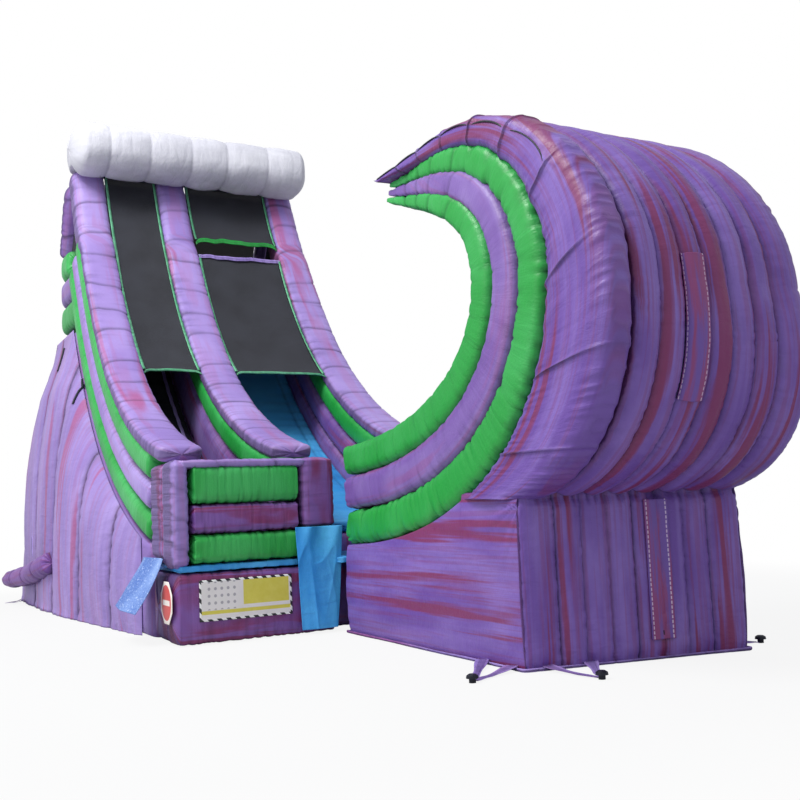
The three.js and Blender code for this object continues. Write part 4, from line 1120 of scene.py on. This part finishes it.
def wall_bulge(x, z):
    """Front wall of the wave: upright ribs as wide as those above, drawn in at the seams and the ground."""
    xi = rib_share(x)
    near = near_seam(xi, 0.3)
    fold = 0.016 * near * ridges(z / 0.06, np.sign(xi) * 2 + 0.6 * xi, np.floor(x / RIB), 201, 1.8)
    tuck = 0.03 * np.exp(-((WAVE_BASE_TOP - z) / 0.05) ** 2) * (0.4 + ridges(x / 0.06, 0, 0, 203, 1.5))
    foot = 0.02 * np.exp(-((z - 0.02) / 0.05) ** 2) * (0.3 + ridges(x / 0.09, 0, 0, 205, 1.5))
    # The second value darkens the seams, folds and the tucks at the top and the ground: painted shade.
    line = near_seam(xi, 0.05)
    return -0.6 * rib_height(xi) - fold - tuck - foot, np.clip(0.5 * line + 12 * fold + 9 * tuck, 0, 1)


def make_wave_base():
    """Walls under the wave: its plan outline, softened at the corners, carried up to a top that follows the
    foot of the stripes.  The front has the ribs' bulges; the sides bulge by the root of a half sine, less
    folds that fan out from the front's upper corner and level creases.  A hem lies on the ground."""
    far, back = WAVE_X + WAVE_WIDTH, -0.18
    corners = [(WAVE_X, back), (WAVE_X, WAVE_FRONT_Y), (far, WAVE_FRONT_Y - SKEW * WAVE_WIDTH), (far, back),
               (WAVE_X, back)]
    plan = []
    for a, b, n in zip(corners[:-1], corners[1:], (220, 190, 150, 80)):
        a, b = np.array(a), np.array(b)
        plan.append(a + (b - a) * np.linspace(0, 1, n, endpoint=False)[:, None])
    plan = np.vstack(plan)
    soft = plan.copy()
    for _ in range(10):
        soft = (np.roll(soft, 1, 0) + soft * 2 + np.roll(soft, -1, 0)) / 4
    x, y = soft[:, 0], soft[:, 1]
    low = lip(0.985)
    low = low[:800][low[:800, 1] <= 1.26]
    top = np.where(y > low[-1, 0], np.interp(-y, -low[:, 0], low[:, 1]), 1.31)
    v = np.linspace(0, 1, 90)[:, None]
    z = v * (top - 0.003)
    t = np.roll(soft, -1, 0) - np.roll(soft, 1, 0)
    out = -clockwise(t) / np.linalg.norm(t, axis=1)[:, None]
    middle = np.array([(WAVE_X + far) / 2, -1.7])
    out *= np.sign(((soft - middle) * out).sum(1))[:, None]
    is_front = smooth(-3.16, -3.2, y) * (np.abs(out[:, 1]) > 0.5)
    bulge, crease = wall_bulge(x[None], z)
    side = 0.035 * np.sin(PI * np.clip(v, 0, 1)) ** 0.5 - 0.03
    away = np.hypot(y - WAVE_FRONT_Y, z - WAVE_BASE_TOP)
    corner = np.exp(-away / 0.5)
    turn = np.arctan2(WAVE_BASE_TOP - z, y + 3.25)
    fan = 0.014 * ridges(turn * 5.0, away * 1.2, 0, 207, 2.0)
    level = 0.006 * ridges(z / 0.2 + 0.2 * y, y / 0.8, 0, 209, 2.0)
    end = 0.012 * ridges(z / 0.07, 0 * y, 0, 211, 2) * np.exp(-np.abs(y - back) / 0.1)
    push = is_front * bulge + (1 - is_front) * (side - fan * corner * 1.6 - level - end)
    shade = np.where(is_front > 0.5, crease, np.clip(26 * fan * corner + 20 * level - 0.1 + 20 * end, 0, 1))
    p = np.zeros((90, len(soft), 3))
    p[..., :2] = soft[None] + push[..., None] * out[None]
    p[..., 2] = z
    run = lengths(soft)[None]
    along = np.where(is_front > 0.5, z * 1.0, run)
    across = np.where(is_front > 0.5, run, z)
    body = Patch(p, along, across, shade)
    hem_line = np.concatenate([soft + out * 0.004, np.full((len(soft), 1), 0.014)], 1)
    hem = chamber(hem_line, 0.012, 0.010, across=(0, 0, 1), n=12, square=0.8, ends=0, pucker=0.004,
                  seed=213, slot=1)
    build("wave_base", [body, hem], [MARBLE_WAVE, WEB], seed=213)


def make_wave():
    """The wave: corner ring, barrel ribs, bed, stripe tubes, far end wall and the base under them."""
    inner = [WAVE_X + WAVE_WALL, WAVE_X + WAVE_WIDTH - WAVE_WALL]
    build("wave_ring_left", [ring(WAVE_X, inner[0], 221), piping()], [MARBLE_WAVE, LANE_BLACK], seed=221)
    ribs = [rib(inner[0] + RIB * k, inner[0] + RIB * (k + 1), 223 + 2 * k) for k in range(6)]
    build("wave_barrel", ribs, [MARBLE_WAVE], seed=223)
    t = tangents(LIP)
    share = smooth(0.25, 0.85, LIP_SHARE)
    depth = 0.93 * (1 - 0.8 * LIP_SHARE) * (1 - share) + 0.01 * share
    line = even(LIP + depth[:, None] * -clockwise(t), 300)
    bed = chamber(yz(line, sum(inner) / 2), 0.63, 0.04, n=120, square=0.2, seed=241, pucker=0.006, pitch=0.12,
                  seam="wide")
    groove = grooves(bed.p[..., 0] - inner[0], 0.32, 0.06)
    # The grooves are darkened through the crease value: painted shade.
    bed.crease = np.clip(bed.crease + 0.4 * groove, 0, 1)
    bed.swell(-0.015 * groove)
    build("wave_bed", [bed], [MARBLE_RICH], seed=241)
    names = ("wave_tube_green_inner", "wave_tube_purple", "wave_tube_green_outer")
    for name, tube in zip(names, stripes(WAVE_X + 0.155, 243)):
        tube.slot = 0
        build(name, [tube], [TUBE_GREEN if "green" in name else MARBLE], seed=243)
    right = stripes(inner[1] + 0.155, 251, 280, 44)
    last = rib(inner[1], inner[1] + WAVE_WALL, 253, slot=1)
    wall = ring(inner[1], inner[1] + 0.3, 255)
    wall.slot = 1
    wall.p[..., 1:] += (RING_IN - RING_OUT)[:, None] * 0.12
    build("wave_end_wall_right", right + [last, wall], [TUBE_GREEN, MARBLE_WAVE], seed=251)
    make_wave_base()


# ------------------------------------------------------------------ zips
def zip_patch(point, u0, u1, s0, s1, seed):
    """A narrow cover strip laid over a wall: point(u, s) is the wall, stitched down with a thicker edge."""
    s = np.linspace(s0, s1, 160)[:, None]
    u = np.linspace(0, 1, 26)[None]
    rim = np.exp(-np.minimum(u, 1 - u) / 0.06) + np.exp(-np.minimum(s - s0, s1 - s) / 0.02)
    lift = 0.014 + 0.003 * np.clip(rim, 0, 1) + 0.005 * noise(s / 0.12, u * 2, 0, seed)
    top, out = point(u0 + (u1 - u0) * u, s)
    p = top + lift[..., None] * out
    under = top + 0.009 * out
    both = np.concatenate([p, under[:, ::-1]], 1)
    a = np.concatenate([s + 0 * u, (s + 0 * u)[:, ::-1]], 1)
    b = np.concatenate([u + 0 * s, (u + 0 * s)[:, ::-1]], 1)
    flat = lengths(p[80])[-1], lengths(p[:, 13])[-1]
    return Patch(both, a, b, np.concatenate([0.2 * rim, 0 * rim], 1), close="flat"), flat


def zip_cover():
    """Cover strip of a zip: the wall's own marbled vinyl with a pale dashed stitch line down each side."""
    m = Shade("zip_cover")
    s, u, _ = m.parts(m.attribute("flow"))
    dash = (s * 28.0).fract() > 0.35
    side = (((u - 0.5) * (u - 0.5)) ** 0.5)
    line = side.step(0.385, 0.395) * (0.44 - side).step(0.0, 0.01)
    wander = m.noise(m.scale(m.attribute("flow"), (1.2, 4.0, 1.0)), 1.0, 3.0, 0.6, 0.3)
    base = m.mix(wander.step(0.4, 0.6), "#6C4E9E", "#8A3F74")
    small = m.noise(m.place(), 40.0, 3.0)
    return m.finish(Base_Color=m.mix(line * dash * 0.8, base, "#D9C8DE"), Roughness=(0.4 + 0.2 * small),
                    Normal=m.bump(small, 0.004, 0.5))


def make_zips():
    """The two cover strips, each laid over its wall."""
    cover = zip_cover()

    def on_wall(x, z):
        y = WAVE_FRONT_Y - SKEW * (x - WAVE_X) - wall_bulge(x, z)[0] * 0.6
        normal = np.array([-SKEW, -1.0, 0.0]) / math.hypot(SKEW, 1)
        return np.stack(np.broadcast_arrays(x, y, z), -1), normal

    def on_barrel(x, z):
        keep = RING_OUT[:250]
        t = tangents(keep)
        y = np.interp(z, keep[:, 1], keep[:, 0]) + 0 * x
        out = np.stack([0 * z, -np.interp(z, keep[:, 1], t[:, 1]), np.interp(z, keep[:, 1], t[:, 0])], -1)
        drop = rib_height(rib_share(x))
        p = np.stack(np.broadcast_arrays(x, y, z), -1) - drop[..., None] * out
        return skew(p), out + np.zeros_like(p)

    for name, point, wall, u0, s0, s1, seed in (
            ("base_zip_flap", on_wall, "wave_base", 2.69, 0.15, 1.2, 261),
            ("barrel_zip_flap", on_barrel, "wave_barrel", 2.38, 1.87, 2.88, 263)):
        patch, flat = zip_patch(point, u0, u0 + 0.2, s0, s1, seed)
        flap = build(name, [patch], [cover], body=None, seed=seed)
        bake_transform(flap)


# ------------------------------------------------------------------ sleeve and anchors
def make_sleeve():
    """Limp sleeve: a flattened tube along a sagging line from the side chamber, with its tie flap."""
    root, mouth = np.array([-0.36, 4.55, 0.66]), np.array([-0.62, 6.6, 0.36])
    t = np.linspace(0, 1, 160)[:, None]
    line = root + (mouth - root) * t + np.array([0, 0, -0.04]) * np.sin(PI * t)
    flat = 0.15 + 0.015 * np.sin(9 * t[:, 0])
    tube = chamber(line, flat, 0.165 - 0.03 * t[:, 0], n=70, square=0.95, pucker=0.02, pitch=0.12, seed=271,
                   ends=0.05, dips=(0.5, 1.1, 1.6, 2.1), dip=0.02)
    tie = np.stack([np.full(30, -0.56), np.linspace(4.95, 5.0, 30), np.linspace(0.72, 1.02, 30)], -1)
    flap = chamber(tie, 0.06, 0.006, across=(0, 1, 0), n=20, square=0.6, pucker=0.004, seed=273, slot=1)
    build("inflation_sleeve", [tube, flap], [MARBLE_RICH, HEM_PALE],
          seed=271)


def make_anchors():
    """Flat webbing legs from the foot of a wall to each stake, lying on the ground and narrower outwards."""
    def wall(x):
        return (WAVE_X + x, WAVE_FRONT_Y - SKEW * x)

    side, far = WAVE_X, WAVE_X + WAVE_WIDTH
    sets = (("front_left", (side, -2.65), (side, -3.05), (side - 0.48, -3.26)),
            ("front", wall(0.18), wall(0.52), (side + 0.26, -3.74)),
            ("right", (far, -3.1), (far, -3.32), (far + 0.33, -3.35)),
            ("back_left", (-0.48, 6.5), (-0.48, 6.7), (-0.73, 6.7)))
    for k, (name, a, b, stake) in enumerate(sets):
        legs = []
        for foot in (a, b):
            foot, end = np.array(foot), np.array(stake)
            way = (end - foot) / np.linalg.norm(end - foot)
            end = end - way * 0.03
            t = np.linspace(0, 1, 50)[:, None]
            flat = foot + (end - foot) * t
            lift = 0.006 + 0.03 * (1 - t[:, 0]) ** 2 + 0.006 * noise(t[:, 0] * 5, k, 0, 281)
            line = np.concatenate([flat, lift[:, None]], 1)
            across = np.array([-way[1], way[0], 0])
            width = 0.05 - 0.028 * t[:, 0] + 0.006 * np.sin(9 * t[:, 0] + k)
            legs.append(chamber(line, width, 0.002, across=across, n=18, square=0.5, ends=0, pucker=0.001,
                                seed=283 + k))
        build("anchor_strap_" + name, legs, [WEB], seed=283 + k)


def finish_metal():
    """Gives the stakes and the zip sliders, which keep their own solids, a steel finish."""
    for node in ("anchor_stake_front_left", "anchor_stake_front", "anchor_stake_right", "base_zip_slider",
                 "barrel_zip_slider"):
        mesh = bpy.data.objects[node].data
        mesh.materials.clear()
        mesh.materials.append(STEEL)


# ------------------------------------------------------------------ camera, light and floor
def make_camera():
    """Three-quarter view from the front left, 1.26 m above the ground."""
    yaw, pitch, roll = 0.497, 0.103, -0.042
    ahead = np.array([math.sin(yaw) * math.cos(pitch), math.cos(yaw) * math.cos(pitch), math.sin(pitch)])
    right = np.array([math.cos(yaw), -math.sin(yaw), 0.0])
    up = np.cross(right, ahead)
    r = math.cos(roll) * right + math.sin(roll) * up
    u = -math.sin(roll) * right + math.cos(roll) * up
    data = bpy.data.cameras.new("camera")
    data.lens = 44.13
    eye = np.array([-2.488, -9.145, 1.262]) + SITE
    data.clip_end = 200
    camera = bpy.data.objects.new("camera", data)
    bpy.context.scene.collection.objects.link(camera)
    matrix = Matrix.Identity(4)
    for k in range(3):
        matrix[k][0], matrix[k][1], matrix[k][2] = r[k], u[k], -ahead[k]
        matrix[k][3] = eye[k]
    camera.matrix_world = matrix
    bpy.context.scene.camera = camera


def area_light(name, place, target, size, power):
    """A square lamp at a place, turned to its target."""
    data = bpy.data.lights.new(name, "AREA")
    data.energy, data.size = power, size
    light = bpy.data.objects.new(name, data)
    bpy.context.scene.collection.objects.link(light)
    light.location = place
    light.rotation_euler = (Vector(target) - Vector(place)).to_track_quat("-Z", "Y").to_euler()
    return light


def make_stage():
    """Soft sky for light, plain white behind, a pale floor that turns white far off, key and fill lamps."""
    world = bpy.data.worlds.new("studio")
    world.use_nodes = True
    tree = world.node_tree
    tree.nodes.clear()
    out = tree.nodes.new("ShaderNodeOutputWorld")
    soft = tree.nodes.new("ShaderNodeBackground")
    soft.inputs[0].default_value, soft.inputs[1].default_value = (0.90, 0.92, 1.0, 1), 0.7
    plain = tree.nodes.new("ShaderNodeBackground")
    plain.inputs[0].default_value, plain.inputs[1].default_value = (1, 1, 1, 1), 1.0
    path = tree.nodes.new("ShaderNodeLightPath")
    mix = tree.nodes.new("ShaderNodeMixShader")
    tree.links.new(path.outputs["Is Camera Ray"], mix.inputs[0])
    tree.links.new(soft.outputs[0], mix.inputs[1])
    tree.links.new(plain.outputs[0], mix.inputs[2])
    tree.links.new(mix.outputs[0], out.inputs[0])
    bpy.context.scene.world = world
    bpy.context.scene.view_settings.view_transform = "Standard"
    mesh = bpy.data.meshes.new("floor")
    mesh.from_pydata([(-60, -60, 0), (60, -60, 0), (60, 60, 0), (-60, 60, 0)], [], [(0, 1, 2, 3)])
    m = Shade("floor_plain")
    grain = m.noise(m.place(), 0.5)
    m.finish(Base_Color=m.mix(grain, (0.5, 0.5, 0.5), (0.53, 0.53, 0.53)), Roughness=0.9)
    lit = m.nodes.new("ShaderNodeEmission")
    lit.inputs[0].default_value = (1, 1, 1, 1)
    camera_ray = m.nodes.new("ShaderNodeLightPath")
    both = m.nodes.new("ShaderNodeMixShader")
    x, y, _ = m.parts(m.place())
    far = ((x * x + y * y) ** 0.5).step(6.0, 10.0)
    share = (0.88 + 0.12 * far) * Sock(m, camera_ray.outputs["Is Camera Ray"])
    put(m, both.inputs[0], share)
    m.links.new(m.shader.outputs[0], both.inputs[1])
    m.links.new(lit.outputs[0], both.inputs[2])
    m.links.new(both.outputs[0], m.out.inputs[0])
    mesh.materials.append(m.material)
    floor = bpy.data.objects.new("floor", mesh)
    bpy.context.scene.collection.objects.link(floor)
    key = area_light("key", (-7.5, -3, 14), (0, 0, 2), 6, 1950)
    fill = area_light("fill", (-12, 0, 6), (0, 0, 2), 8, 300)


make_camera()
make_walls()
make_beds()
make_base()
make_deck()
make_nets()
make_cornice()
make_front()
make_apron()
make_mat()
make_signs()
make_wave()
make_zips()
make_sleeve()
make_anchors()
finish_metal()
make_stage()
